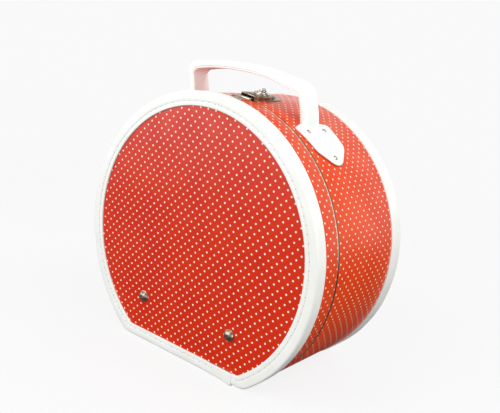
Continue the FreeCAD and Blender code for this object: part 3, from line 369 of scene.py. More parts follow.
# The handle's white leans slightly blue-green: painted to cancel the red light that the hoop bounces onto it.
HANDLE_VINYL = white_vinyl("white_vinyl_handle", paint(237, 242, 241), 0.9 * MM, 0.3)
NICKEL = plated("antique_nickel", paint(176, 168, 150), paint(104, 94, 76), 0.24, 3 * MM)
CHROME = plated("polished_nickel", paint(212, 208, 200), paint(150, 144, 132), 0.12, 6 * MM)
RIVET_METAL = plated("dull_rivet_nickel", paint(196, 194, 186), paint(146, 142, 134), 0.3, 2 * MM)
LID_FRAME_METAL = plated("pale_gilt_frame", paint(246, 232, 204), paint(230, 214, 182), 0.2, 60 * MM)
# The base frame is the same gilt as the lid frame, darkened to brown: painted shade of the gap along the
# parting line.
BASE_FRAME_PAINTED_SHADE = plated("gilt_frame_painted_gap_shade", paint(112, 88, 58), paint(78, 58, 38), 0.22, 60 * MM)
HINGE_STEEL = plated("hinge_steel", paint(186, 184, 178), paint(130, 126, 118), 0.3, 5 * MM)
LINING_FLAT_CLOTH = cloth("lining_cloth_flat", paint(226, 214, 190), paint(176, 160, 132), 0.7 * MM, True)
LINING_BAND_CLOTH = cloth("lining_cloth_band", paint(226, 214, 190), paint(176, 160, 132), 0.7 * MM, False)
RIBBON_CLOTH = cloth("stay_ribbon", paint(240, 232, 214), paint(196, 184, 160), 0.4 * MM, False)
HARDBOARD = pressed_board("hardboard")
WHITE_THREAD = twisted_thread("white_thread", paint(238, 238, 234))
# Grey bumps between the stitches: painted shade of the needle holes.
STITCH_HOLE_SHADE = twisted_thread("stitch_hole_painted_shade", paint(168, 172, 170))


# Meshes

def added(name, data):
    """A new object in the scene, at the origin."""
    made = bpy.data.objects.new(name, data)
    bpy.context.scene.collection.objects.link(made)
    return made


def new_piece(name, mesh, material, body, slot, *replaced):
    """Show a mesh as a piece that rides on a body and stands for CAD nodes."""
    piece = added(name, mesh)
    if not mesh.materials:
        mesh.materials.append(material)
    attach(piece, body)
    if replaced:
        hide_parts(*replaced)
    return piece


def shade(mesh, sharp=38):
    """Smooth shading, with an edge kept where the surface turns by more than some degrees."""
    mesh.shade_smooth()
    mesh.set_sharp_from_angle(angle=math.radians(sharp))
    return mesh


def distances(points):
    """How far each point of a line lies from the first, along the line."""
    lengths = [0.0]
    for first, second in zip(points, points[1:]):
        lengths.append(lengths[-1] + (Vector(second) - Vector(first)).length)
    return lengths


def outwards(mesh, doubles=None):
    """Turn a mesh's faces outwards, with points nearer than a distance merged."""
    tidy = bmesh.new()
    tidy.from_mesh(mesh)
    if doubles:
        bmesh.ops.remove_doubles(tidy, verts=tidy.verts, dist=doubles)
    bmesh.ops.recalc_face_normals(tidy, faces=tidy.faces)
    tidy.to_mesh(mesh)
    tidy.free()


def grid_mesh(name, rings, lengths=None, closed_rings=True, closed_around=True, caps=False):
    """Join rings of points with quads, mapped by distance along the rings and round each one."""
    count = len(rings[0])
    mesh = bpy.data.meshes.new(name)
    points = [point for ring in rings for point in ring]
    faces = []
    spots = []                        # row and column of each quad
    row_count = len(rings) if closed_rings else len(rings) - 1
    column_count = count if closed_around else count - 1
    around = distances([*rings[0], rings[0][0]])
    for row in range(row_count):
        for column in range(column_count):
            after = (row + 1) % len(rings)
            beside = (column + 1) % count
            faces.append((row * count + column, after * count + column, after * count + beside,
                          row * count + beside))
            spots.append((row, column))
    if caps:
        faces.append(tuple(range(count)))
        faces.append(tuple((len(rings) - 1) * count + i for i in reversed(range(count))))
    mesh.from_pydata(points, [], faces)
    layer = mesh.uv_layers.new(name="UVMap")
    for polygon, (row, column) in zip(mesh.polygons, spots):
        corners = ((row, column), (row + 1, column), (row + 1, column + 1), (row, column + 1))
        for loop, (along, across) in zip(polygon.loop_indices, corners):
            layer.data[loop].uv = (lengths[along] if lengths else along, around[across])
    outwards(mesh)
    mesh.update()
    return mesh


ARC_STEPS = 180             # stations round the hoop, round a corner and along half of the base
CORNER_STEPS = 14
BASE_STEPS = 16


def outline_sizes(inset):
    """Radius, drop and corner of the case's outline at an inset; past the hoop it nears the lip's edge."""
    if inset <= 0:
        return RADIUS - inset, DROP - inset, CORNER - inset
    share = inset / LIP
    return RADIUS - inset, DROP - share * SILL, CORNER + share * (LIP_CORNER - CORNER)


def outline(radius, drop, corner):
    """Points and outward directions, from the middle of the base round to it again, right side first."""
    middle_x = math.sqrt((radius - corner) ** 2 - (drop - corner) ** 2)
    middle_z = corner - drop
    turn = math.atan2(middle_z, middle_x)
    stations = []
    for step in range(BASE_STEPS):
        stations.append(((middle_x * step / BASE_STEPS, -drop), (0.0, -1.0)))

    def round_stretch(centre, size, start, end, steps):
        for step in range(steps):
            angle = start + (end - start) * step / steps
            out = (math.cos(angle), math.sin(angle))
            stations.append(((centre[0] + size * out[0], centre[1] + size * out[1]), out))

    round_stretch((middle_x, middle_z), corner, -math.pi / 2, turn, CORNER_STEPS)
    round_stretch((0.0, 0.0), radius, turn, math.pi - turn, ARC_STEPS)
    round_stretch((-middle_x, middle_z), corner, math.pi - turn, 1.5 * math.pi, CORNER_STEPS)
    for step in range(BASE_STEPS):
        stations.append(((middle_x * (step / BASE_STEPS - 1), -drop), (0.0, -1.0)))
    return stations


def place(x, depth, z):
    """A point from its distance off the middle, behind the front cover and above the hoop's centre."""
    return Vector((x, FRONT + depth, CENTRE + z))


def eased(share):
    """A share from 0 to 1 that starts and ends gently."""
    share = min(max(share, 0.0), 1.0)
    return share * share * (3 - 2 * share)


def uneven(length, *waves):
    """A small wandering offset that repeats round the outline."""
    return sum(size * math.sin(2 * math.pi * turns * length + phase) for size, turns, phase in waves)


def swept(name, profile, ripple=0.0):
    """Carry a closed profile of inset and depth pairs round the case's outline."""
    tracks = [outline(*outline_sizes(inset)) for inset, depth in profile]
    edge = [point for point, out in outline(RADIUS, DROP, CORNER)]
    lengths = distances([*edge, edge[0]])
    total = lengths[-1]
    lengths = [length - total / 2 for length in lengths]
    rings = []
    for i in range(len(edge)):
        share = (lengths[i] + total / 2) / total
        lift = ripple * uneven(share, (0.5, 23, 0.3), (0.35, 41, 1.9), (0.3, 9, 4.0))
        ring = []
        for (inset, depth), track in zip(profile, tracks):
            (x, z), (out_x, out_z) = track[i]
            ring.append(place(x + out_x * lift * (inset < 0), depth, z + out_z * lift * (inset < 0)))
        rings.append(ring)
    return grid_mesh(name, rings, lengths=[-length for length in lengths])


def rounded(corners, steps=6):
    """A closed profile from corners given as inset, depth and rounding."""
    points = []
    for i, (inset, depth, size) in enumerate(corners):
        here = Vector((inset, depth))
        if size == 0:
            points.append(tuple(here))
            continue
        before = (Vector(corners[i - 1][:2]) - here).normalized()
        after = (Vector(corners[(i + 1) % len(corners)][:2]) - here).normalized()
        start = here + before * size
        end = here + after * size
        for step in range(steps + 1):
            t = step / steps
            points.append(tuple((1 - t) ** 2 * start + 2 * t * (1 - t) * here + t ** 2 * end))
    return points


# Covers and linings

def hoop_cover(name, start, end, material, body, node_name):
    """Vinyl round the hoop, its edges turned softly down to the frame."""
    profile = rounded(((0.0, start, 0.35 * MM), (0.0, end, 0.35 * MM), (COVER, end, 0), (COVER, start, 0)), 3)
    return new_piece(name, shade(swept(name, profile)), material, body, "dotted_vinyl", node_name)


hoop_cover("lid_hoop_vinyl", COVER, LID_COVER_END, LID_VINYL, "lid", "lid_hoop_cover")
hoop_cover("base_hoop_vinyl", BASE_COVER_START, DEPTH - COVER, BASE_VINYL, "base", "base_hoop_cover")


# Bindings

STITCH_INSET = 8.2 * MM


def lip_and_band(face, outward, band_end):
    """Profile of a folded binding: face depth, which way is outward, and where the band ends on the hoop."""
    top = face + outward * BINDING
    crown = top + outward * 0.15 * MM
    seam = top - outward * 0.2 * MM
    corners = [(0.0, face, 0), (LIP, face, 0), (LIP, top, 0.6 * MM)]
    corners += [(STITCH_INSET + 1.9 * MM, crown, 0.9 * MM), (STITCH_INSET, seam, 0.7 * MM)]
    corners += [(STITCH_INSET - 1.9 * MM, crown, 0.9 * MM), (-BINDING, top, 2.4 * MM)]
    corners += [(-BINDING, band_end, 0.6 * MM), (0.0, band_end, 0)]
    return rounded(corners)


def binding(name, profile, body, node_name):
    """A folded strip, very slightly wavy where it lies on the hoop."""
    mesh = shade(swept(name, profile, 0.12 * MM), 50)
    new_piece(name, mesh, BINDING_VINYL, body, "white_vinyl", node_name)


binding("front_binding", lip_and_band(0.0, -1, FRONT_BAND), "lid", "lid_binding")
binding("rear_binding", lip_and_band(DEPTH, 1, DEPTH - BACK_BAND), "base", "back_binding")


def binding_lap():
    """The front binding's end laps over its start near the right corner, and its cut corner stands loose."""
    # Millimetres from the middle, and how far the lap stands off the strip below it there.
    stations = ((38, 0.02), (48, 0.3), (58, 0.55), (66, 0.75), (69.5, 0.9), (70.8, 0.95), (71.0, 0.8))
    rings = []
    for x, lift in stations:
        thick = BINDING + lift * MM
        band_end = FRONT_BAND + lift * MM
        sag = 0.9 * MM * eased((x - 62) / 9)
        corners = ((0.0, 0.0, 0), (LIP, 0.0, 0), (LIP, -thick, 0.5 * MM), (STITCH_INSET, -thick, 0.6 * MM),
                   (-thick, -thick - 0.1 * MM, 2.2 * MM), (-thick, band_end, 0.6 * MM), (0.0, band_end, 0))
        ring = []
        for inset, depth in rounded(corners):
            level = -DROP + (inset * SILL / LIP if inset > 0 else inset - sag * (depth < 6 * MM))
            ring.append(place(x * MM, depth, level))
        rings.append(ring)
    mesh = grid_mesh("front_binding_lap", rings, closed_rings=False, caps=True)
    new_piece("front_binding_lap", shade(mesh, 40), BINDING_VINYL, "lid", "white_vinyl")


binding_lap()


# Stitches and fasteners, placed by geometry nodes

def made_real(tree, placed, given, result):
    """End a tree: its copies become plain geometry with the given material."""
    real = node(tree, "GeometryNodeRealizeInstances", (placed.outputs[0],))
    done = node(tree, "GeometryNodeSetMaterial", {"Geometry": real.outputs[0], "Material": given["Material"]})
    tree.links.new(done.outputs[0], result.inputs[0])
    return tree


def stitch_tree():
    """Short rounded bars at an even pitch along the edges of a mesh."""
    tree, given, result = new_tree("stitch_row", "GeometryNodeTree", (
        ("Geometry", "NodeSocketGeometry", None), ("Pitch", FLOAT, 0.008), ("Length", FLOAT, 0.006),
        ("Width", FLOAT, 0.0008), ("Height", FLOAT, 0.0006), ("Material", "NodeSocketMaterial", None)),
        (("Geometry", "NodeSocketGeometry"),))
    curve = node(tree, "GeometryNodeMeshToCurve", (given["Geometry"],))
    points = node(tree, "GeometryNodeCurveToPoints", {"Curve": curve.outputs[0], "Length": given["Pitch"]},
                  mode="LENGTH")
    aligned = node(tree, "FunctionNodeAlignRotationToVector", {"Vector": points.outputs["Tangent"]}, axis="X")
    ball = node(tree, "GeometryNodeMeshUVSphere", {"Segments": 10, "Rings": 6, "Radius": 0.5})
    halves = node(tree, "ShaderNodeCombineXYZ", (given["Length"], given["Width"], given["Height"]))
    bar = node(tree, "GeometryNodeTransform", {"Geometry": ball.outputs[0], "Scale": halves.outputs[0]})
    placed = node(tree, "GeometryNodeInstanceOnPoints", {
        "Points": points.outputs[0], "Instance": bar.outputs[0], "Rotation": aligned.outputs[0]})
    return made_real(tree, placed, given, result)


def fastener_tree():
    """Copies of one turned piece on the points of a mesh, standing along their outward direction."""
    tree, given, result = new_tree("fasteners", "GeometryNodeTree", (
        ("Geometry", "NodeSocketGeometry", None), ("Fastener", "NodeSocketObject", None),
        ("Size", FLOAT, 1.0), ("Material", "NodeSocketMaterial", None)),
        (("Geometry", "NodeSocketGeometry"),))
    outward = node(tree, "GeometryNodeInputNamedAttribute", {"Name": "outward"}, data_type="FLOAT_VECTOR")
    aligned = node(tree, "FunctionNodeAlignRotationToVector", {"Vector": outward.outputs[0]}, axis="Z")
    piece = node(tree, "GeometryNodeObjectInfo", {"Object": given["Fastener"]})
    placed = node(tree, "GeometryNodeInstanceOnPoints", {
        "Points": given["Geometry"], "Instance": piece.outputs["Geometry"], "Rotation": aligned.outputs[0],
        "Scale": given["Size"]})
    return made_real(tree, placed, given, result)


STITCH_ROW = stitch_tree()
FASTENERS = fastener_tree()


def grown(name, host, tree, values):
    """Run a geometry tree on a host mesh and keep the result as a plain mesh."""
    holder = added(name + "_host", host)
    modifier = holder.modifiers.new("grow", "NODES")
    modifier.node_group = tree
    for item in tree.interface.items_tree:
        if item.in_out == "INPUT" and item.name in values:
            modifier[item.identifier] = values[item.name]
    graph = bpy.context.evaluated_depsgraph_get()
    mesh = bpy.data.meshes.new_from_object(holder.evaluated_get(graph))
    mesh.name = name
    bpy.data.objects.remove(holder)
    return mesh


def shifted(points, distance):
    """The same closed line, begun a little further along."""
    points = list(points)
    left = distance
    while (points[1] - points[0]).length < left:
        left -= (points[1] - points[0]).length
        points.append(points.pop(0))
    start = points[0].lerp(points[1], left / (points[1] - points[0]).length)
    return [start] + points[1:] + [points[0]]


def bar_row(name, points, material, body, **sizes):
    """Bars of one material at an even pitch along a closed line."""
    path = bpy.data.meshes.new(name + "_path")
    count = len(points)
    path.from_pydata([tuple(point) for point in points], [(i, (i + 1) % count) for i in range(count)], [])
    mesh = grown(name, path, STITCH_ROW, {**sizes, "Pitch": STITCH_PITCH, "Material": material})
    new_piece(name, shade(mesh, 60), material, body, "white_vinyl")


def stitches(name, depth, body):
    """A row of thread round a lip, with a small grey bump between each two stitches: painted shade standing
    for a puckered needle hole.
    """
    row = [place(x, depth, z) for (x, z), out in outline(*outline_sizes(STITCH_INSET))]
    bar_row(name, row, WHITE_THREAD, body, Length=STITCH_PITCH - 1.5 * MM, Width=0.9 * MM, Height=0.6 * MM)
    ahead = shifted(row, STITCH_PITCH / 2)
    bar_row(name + "_holes", ahead, STITCH_HOLE_SHADE, body, Length=1.3 * MM, Width=1.5 * MM, Height=0.7 * MM)


STITCH_PITCH = 8.2 * MM
LIP_SEAM = BINDING - 0.15 * MM
stitches("front_binding_stitches", -LIP_SEAM, "lid")
stitches("rear_binding_stitches", DEPTH + LIP_SEAM, "base")


# Linings of the hoops

def lining_profile(node_name):
    """A lining band's section, its inner edges softened."""
    low, high = (corner.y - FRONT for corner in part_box(node_name))
    inner = SHELL - 0.05 * MM
    return rounded(((WALL, low, 0), (WALL, high, 0), (inner, high, 0.3 * MM), (inner, low, 0.3 * MM)), 3)


def even_sweep(name, profile):
    """Carry a profile round the outline taken in evenly, as the walls and linings are."""
    tracks = [outline(RADIUS - inset, DROP - inset, CORNER - inset) for inset, depth in profile]
    edge = [point for point, out in tracks[0]]
    rings = [[place(track[i][0][0], depth, track[i][0][1]) for (inset, depth), track in zip(profile, tracks)]
             for i in range(len(edge))]
    return grid_mesh(name, rings, lengths=distances([*edge, edge[0]]))


for band_name, node_name, body_name in (("lid_lining", "lid_lining_band", "lid"),
                                        ("base_lining", "base_lining_band", "base")):
    band_mesh = even_sweep(band_name, lining_profile(node_name))
    new_piece(band_name, shade(band_mesh), LINING_BAND_CLOTH, body_name, "lining_cloth", node_name)


# Handle

SPAN = 75.6 * MM            # middle to the outside of a leg at its foot
FOOT = 118 * MM             # legs are drawn from this height above the hoop's centre
LEAN = math.radians(1.5)
CROWN = 360 * MM            # gentle arch of the grip
BEND = 14 * MM              # outside of the bend between grip and leg
GRIP_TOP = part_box("handle_cover")[1].z - CENTRE
STRAP = 8.5 * MM            # thickness
STRAP_HALF = 12 * MM        # half of the width
STRAP_EDGE = 2.6 * MM       # rounding of the outer edges
FOOT_LEVEL = 130 * MM       # hoop's surface at the legs, above its centre
LEFT_SHIFT = (-10.5 * MM, 1.6 * MM)  # how far the grip's left end has moved sideways and up
RIGHT_SHIFT = (-3.6 * MM, -3.4 * MM)  # the same for its right end
FOOT_SHIFT = 5.0 * MM       # how far the right foot stands out
SEAT = RADIUS - 0.3 * MM    # the feet press into the cover a little


def handle_line():
    """Points and inward directions along the outside of the strap, right foot first."""
    crown_z = GRIP_TOP - CROWN
    middle_x = SPAN - BEND
    for again in range(20):
        middle_z = crown_z + math.sqrt((CROWN - BEND) ** 2 - middle_x ** 2)
        level = SPAN * math.cos(LEAN) + FOOT * math.sin(LEAN) - BEND
        middle_x = (level - middle_z * math.sin(LEAN)) / math.cos(LEAN)
    turn = math.atan2(middle_z - crown_z, middle_x)
    knee = Vector((middle_x + BEND * math.cos(LEAN), middle_z + BEND * math.sin(LEAN)))
    foot = Vector((SPAN, FOOT))
    half = []
    for step in range(14):
        half.append((foot.lerp(knee, step / 14), Vector((-math.cos(LEAN), -math.sin(LEAN)))))
    for step in range(16):
        angle = LEAN + (turn - LEAN) * step / 16
        out = Vector((math.cos(angle), math.sin(angle)))
        half.append((Vector((middle_x, middle_z)) + BEND * out, -out))
    for step in range(25):
        angle = turn + (math.pi / 2 - turn) * step / 24
        out = Vector((math.cos(angle), math.sin(angle)))
        half.append((Vector((0.0, crown_z)) + CROWN * out, -out))
    mirrored = [(Vector((-point.x, point.y)), Vector((-inward.x, inward.y))) for point, inward in half[:-1]]
    return half + mirrored[::-1]


def carried(point):
    """The grip leans to the left, as it settles after use, and its right leg stands a little wider."""
    share = eased((point.z - CENTRE - FOOT_LEVEL) / (GRIP_TOP - FOOT_LEVEL))
    right = eased((point.x / SPAN + 1) / 2)
    sideways = share * (LEFT_SHIFT[0] * (1 - right) + RIGHT_SHIFT[0] * right)
    sideways += (1 - share) * FOOT_SHIFT * right
    upwards = share * (LEFT_SHIFT[1] * (1 - right) + RIGHT_SHIFT[1] * right ** 4)
    moved = point + Vector((sideways, 0.0, upwards))
    moved.z = max(moved.z, CENTRE + math.sqrt(max(SEAT ** 2 - moved.x ** 2, 0.0)))
    return moved


def strap_section(plump):
    """Across and depth pairs round the strap, from the middle of its outside."""
    half = []
    rise = 0.9 * MM
    for step in range(9):
        across = (STRAP_HALF - STRAP_EDGE) * step / 8
        half.append((across, rise * (1 - plump) + rise * plump * (across / STRAP_HALF) ** 2))
    for step in range(1, 9):
        angle = math.pi / 2 * step / 8
        half.append((STRAP_HALF - STRAP_EDGE + STRAP_EDGE * math.sin(angle),
                     half[8][1] + STRAP_EDGE * (1 - math.cos(angle))))
    # The side's seam: how far in from the widest place, and how deep, in millimetres.
    seam = ((0.0, 5.6), (0.1, 6.3), (0.7, 6.75), (0.75, 7.1), (0.35, 7.4), (0.45, 8.0), (1.1, 8.4))
    half += [(STRAP_HALF - taken_in * MM, depth * MM) for taken_in, depth in seam]
    half += [((STRAP_HALF - 2.4 * MM) * (1 - step / 6), STRAP - 0.15 * MM) for step in range(6)]
    half.append((0.0, STRAP - 0.1 * MM))
    return half + [(-across, depth) for across, depth in reversed(half[1:-1])]


def swell(station, middle, width):
    """1 at the middle station, falling away on both sides."""
    return math.exp(-((station - middle) / width) ** 2)


def handle_rings():
    """The strap's section at each place along it, slack and creased inside the two bends."""
    line = handle_line()
    last = len(line) - 1
    rings = []
    for i, (point, inward) in enumerate(line):
        height = (point.y - RADIUS) / (GRIP_TOP - RADIUS)
        plump = min(max(height, 0.2), 1.0)
        slack = 3.2 * MM * swell(i, 27, 9) + 1.2 * MM * swell(last - i, 24, 7)
        fold = 0.22 * MM * math.sin(i * 2.3) * swell(min(i, last - i), 21, 5)
        ring = []
        for across, depth in strap_section(plump):
            deep = depth + (slack - fold) * (depth > STRAP / 2)
            x = point.x + inward.x * deep
            z = point.y + inward.y * deep
            if i in (0, last):
                z = math.sqrt(SEAT ** 2 - x ** 2)
            ring.append(carried(Vector((x, HANDLE_MIDDLE + across, CENTRE + z))))
        rings.append(ring)
    return rings


def handle():
    """The padded strap, which holds a steel core and whose feet go under the shields."""
    rings = handle_rings()
    lengths = distances([ring[0] for ring in rings])
    mesh = grid_mesh("handle_strap", rings, lengths=lengths, closed_rings=False, caps=True)
    strap = new_piece("handle_strap", shade(mesh, 50), HANDLE_VINYL, "base", "white_vinyl", "handle_cover",
                      "handle_core")


handle()


# Shields over the handle's feet

def rounded_outline(corners, steps=8):
    """A closed outline whose corners are rounded by true arcs: each corner gives along, across, radius."""
    points = []
    for i, (x, y, radius) in enumerate(corners):
        here = Vector((x, y))
        before = Vector(corners[i - 1][:2]) - here
        after = Vector(corners[(i + 1) % len(corners)][:2]) - here
        half = before.angle(after) / 2
        if radius == 0:
            points.append(here)
            continue
        reach = radius / math.tan(half)
        start = here + before.normalized() * reach
        end = here + after.normalized() * reach
        middle = here + (before.normalized() + after.normalized()).normalized() * (radius / math.sin(half))
        first = start - middle
        sweep = (end - middle).angle_signed(first)
        for step in range(steps + 1):
            points.append(middle + Matrix.Rotation(sweep * step / steps, 2) @ first)
    return points


def spread(points, pitch):
    """Walk round a closed outline and mark it at an even pitch."""
    marks = []
    for i, point in enumerate(points):
        after = points[(i + 1) % len(points)]
        length = (after - point).length
        if length < 0.05 * MM:
            continue
        count = max(1, round(length / pitch))
        marks += [point.lerp(after, step / count) for step in range(count)]
    return marks


SHIELD = 2.2 * MM           # thickness
SHIELD_MIDDLE = math.radians(39.45)
SHIELD_HALF = 26 * MM       # from the leg's side of a shield to its middle, along the hoop


def shield_plan():
    """Along the hoop away from the leg, across it, and the rounding of each corner, in millimetres."""
    rear = [(0.0, 17.0, 1.5), (3.8, 28.4, 1.2), (33.0, 27.4, 12.0)]
    front = [(35.0, -21.5, 14.0), (3.8, -27.4, 1.2), (0.0, -17.0, 1.5)]
    corners = rear + [(56.5, 1.5, 14.0)] + front
    return [(along * MM - SHIELD_HALF, across * MM, size * MM) for along, across, size in corners]


def on_hoop(angle, along, across, height):
    """A point above the hoop, from a place measured round it and across it."""
    turn = angle + along / RADIUS
    reach = RADIUS + height
    return Vector((reach * math.sin(turn), HANDLE_MIDDLE + across, CENTRE + reach * math.cos(turn)))


def shield(side_name, side):
    """A thick leaf of vinyl over a foot: undercut at its foot, with a rolled rim and a pressed line."""
    name = f"handle_shield_{side_name}_vinyl"
    edge = spread(rounded_outline(shield_plan()), 1.6 * MM)
    # How far in from the outline, and how high above the hoop, in millimetres.
    rims = ((1.6, -0.1), (1.6, 0.9), (0.3, 0.95), (0.0, 1.25), (0.1, 1.75), (0.5, 2.1), (1.0, 2.2),
            (1.7, 2.22), (2.6, 2.04), (3.4, 2.2))
    middle = side * SHIELD_MIDDLE
    rings = []
    for taken_in, height in rims:
        spots = [point * (1 - taken_in * MM / point.length) for point in edge]
        rings.append([on_hoop(middle, side * spot.x, spot.y, height * MM) for spot in spots])
    for share in (0.75, 0.6, 0.45, 0.3, 0.15, 0.02):
        rings.append([on_hoop(middle, side * point.x * share, point.y * share, SHIELD + 0.15 * MM)
                      for point in edge])
    mesh = grid_mesh(name, rings, closed_rings=False, caps=True)
    new_piece(name, shade(mesh, 60), HANDLE_VINYL, "base", "white_vinyl", f"handle_shield_{side_name}")


for side_name, side in SIDES:
    shield(side_name, side)


# Turned metal pieces

def lathe(name, profile, steps=28):
    """A closed turned piece from radius and height pairs; the first and last lie on its axis."""
    rings = []
    for step in range(steps):
        turn = 2 * math.pi * step / steps
        across, along = math.cos(turn), math.sin(turn)
        rings.append([(radius * across, radius * along, height) for radius, height in profile])
    mesh = grid_mesh(name, rings, closed_around=False)
    outwards(mesh, doubles=1e-7)
    return shade(mesh, 45)


def dome_profile(radius, rise, low, rim, steps=8):
    """A domed head with a small rolled rim, from its top down to its underside."""
    turns = [math.pi / 2 * step / steps for step in range(steps + 1)]
    dome = [(radius * math.sin(turn), low + rim + (rise - rim) * math.cos(turn)) for turn in turns]
    return dome + [(radius, low)]


def rivet_profile(head, rise, shank, tail, tail_low, tail_high):
    """A whole rivet: domed head, shank and spread tail; heights are measured from under the head."""
    return dome_profile(head, rise, 0.0, rise * 0.15) + [
        (shank, 0.0), (shank, tail_high), (tail, tail_high), (tail, tail_low), (shank, tail_low - 0.1 * MM),
        (0.0, tail_low - 0.1 * MM)]


def set_fasteners(name, profile, spots, material, body, slot, *replaced):
    """Put one turned piece at several spots, each a point and the direction that it stands in."""
    host = bpy.data.meshes.new(name + "_spots")
    host.from_pydata([tuple(point) for point, outward in spots], [], [])
    directions = host.attributes.new("outward", "FLOAT_VECTOR", "POINT")
    directions.data.foreach_set("vector", [part for point, outward in spots for part in outward])
    pattern = added(name + "_pattern", lathe(name + "_pattern", profile))
    mesh = grown(name, host, FASTENERS, {"Fastener": pattern, "Size": 1.0, "Material": material})
    bpy.data.objects.remove(pattern)
    new_piece(name, shade(mesh, 45), material, body, slot, *replaced)


def stud_profile():
    """A domed stud with a flat rim, its shank through the face, and its spread tail."""
    dome = [(0.0, 3.0 * MM)] + dome_profile(5.6 * MM, 3.0 * MM, 0.6 * MM, 0.3 * MM)[1:-1]
    rim = ((5.7, 0.75), (6.2, 0.6), (6.2, 0.15), (6.0, 0.0), (2.0, 0.0))
    tail = ((2.0, -5.6), (3.2, -5.6), (3.2, -6.4), (2.6, -6.6), (0.0, -6.6))
    return dome + [(radius * MM, height * MM) for radius, height in rim + tail]


stud_spots = [(place(side * STUD_SIDE, 0.0, STUD_LEVEL), Vector((0, -1, 0))) for side_name, side in SIDES]
set_fasteners("nickel_face_studs", stud_profile(), stud_spots, NICKEL, "lid", "nickel_steel", "face_studs")


def hoop_spot(angle, depth, height):
    """A point above the hoop and the direction outwards there."""
    outward = Vector((math.sin(math.radians(angle)), 0.0, math.cos(math.radians(angle))))
    return place(0.0, depth, 0.0) + outward * (RADIUS + height), outward


RIVET_PLACES = ((33.7, -13.7 * MM), (33.7, 13.7 * MM), (46.1, 0.0))  # degrees round the hoop, and across
rivet_spots = [hoop_spot(side * angle, HANDLE_MIDDLE - FRONT + across, SHIELD + 0.1 * MM)
               for side_name, side in SIDES for angle, across in RIVET_PLACES]
RIVET_END = -SHELL - 0.64 * MM - SHIELD  # inside of the washers, from under a rivet's head
rivet = rivet_profile(2.4 * MM, 1.0 * MM, 1.3 * MM, 2.4 * MM, RIVET_END - 1.0 * MM, RIVET_END)
set_fasteners("shield_rivets", rivet, rivet_spots, RIVET_METAL, "base", "nickel_steel", "handle_rivets")


# Lock

def softened(name, source, width, material, body):
    """A lock piece like its CAD node, with its doubles merged and its edges softened."""
    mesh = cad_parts[source].data.copy()
    mesh.name = name
    tidy = bmesh.new()
    tidy.from_mesh(mesh)
    bmesh.ops.remove_doubles(tidy, verts=tidy.verts, dist=1e-6)
    bmesh.ops.dissolve_limit(tidy, angle_limit=math.radians(1.0), verts=tidy.verts, edges=tidy.edges)
    joined = [edge for edge in tidy.edges if len(edge.link_faces) == 2]
    sharp = [edge for edge in joined if edge.calc_face_angle() > math.radians(35)]
    bmesh.ops.bevel(tidy, geom=sharp, offset=width, segments=2, profile=0.5, affect="EDGES",
                    clamp_overlap=True)
    tidy.to_mesh(mesh)
    tidy.free()
    mesh.materials.clear()
    new_piece(name, shade(mesh, 30), material, body, "lock_chrome", source)


softened("lock_case_shell", "lock_case", 0.35 * MM, NICKEL, "base")
softened("lock_plate", "lock_base_plate", 0.25 * MM, NICKEL, "base")
softened("lock_boss_turned", "lock_boss", 0.15 * MM, CHROME, "base")
softened("lock_turn_knob", "lock_knob", 0.25 * MM, CHROME, "knob")
softened("striker", "striker_plate", 0.3 * MM, CHROME, "lid")


# Lid stays

TAPE_HALF = 7 * MM          # half of the ribbon's width
STAY_LENGTH = 185 * MM
# The ribbon's section: shares of its half width, and of its half thickness.
TAPE_SECTION = ((-1, 1), (-0.5, 1.3), (0, 1.4), (0.5, 1.3), (1, 1), (1, -1), (0, -0.6), (-1, -1))


def stay_line(side, sag):
    """A ribbon's middle line from the lid's stud to the base's wall, hanging between them."""
    top = place(side * STUD_SIDE, SHELL + 0.5 * MM, STUD_LEVEL + 8 * MM)
    start = place(side * STUD_SIDE, SHELL + 0.9 * MM, STUD_LEVEL - 7 * MM)
    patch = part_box("stay_patches")
    end = Vector((side * (patch[1].x - 1.4 * MM), (patch[0].y + patch[1].y) / 2, CENTRE - 10 * MM))
    first = start + Vector((0.0, 6 * MM, -sag))
    second = end + Vector((-side * 22 * MM, 0.0, -sag * 0.9))
    points = [top, top.lerp(start, 0.5)]
    for step in range(49):
        t = step / 48
        points.append((1 - t) ** 3 * start + 3 * t * (1 - t) ** 2 * first + 3 * t ** 2 * (1 - t) * second
                      + t ** 3 * end)
    points.append(end + Vector((side * 0.4 * MM, 0.0, 8 * MM)))
    return points


def stay_points(side):
    """The middle line whose sag takes up the ribbon's whole length."""
    low, high = 0.0, 110 * MM
    for again in range(30):
        sag = (low + high) / 2
        points = stay_line(side, sag)
        if distances(points)[-1] < STAY_LENGTH:
            low = sag
        else:
            high = sag
    return points


def stay(side_name, side):
    """A woven ribbon that lies flat on the lid and turns to lie flat on the base's wall."""
    name = f"stay_ribbon_{side_name}"
    points = stay_points(side)
    rings = []
    count = len(points)
    for i, point in enumerate(points):
        before = points[max(i - 1, 0)]
        after = points[min(i + 1, count - 1)]
        along = (after - before).normalized()
        share = eased((i - 4) / (count - 8))
        across = Vector((1.0 - share, side * share, 0.0))
        across = (across - along * across.dot(along)).normalized()
        out = across.cross(along).normalized() * 0.25 * MM
        rings.append([point + across * TAPE_HALF * step + out * lift for step, lift in TAPE_SECTION])
    mesh = grid_mesh(name, rings, lengths=distances(points), closed_rings=False, caps=True)
    ribbon = added(name, shade(mesh, 60))
    mesh.materials.append(RIBBON_CLOTH)
    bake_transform(ribbon)
    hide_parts(f"stay_tape_{side_name}")


for side_name, side in SIDES:
    stay(side_name, side)


# Finishes of the CAD pieces that stay

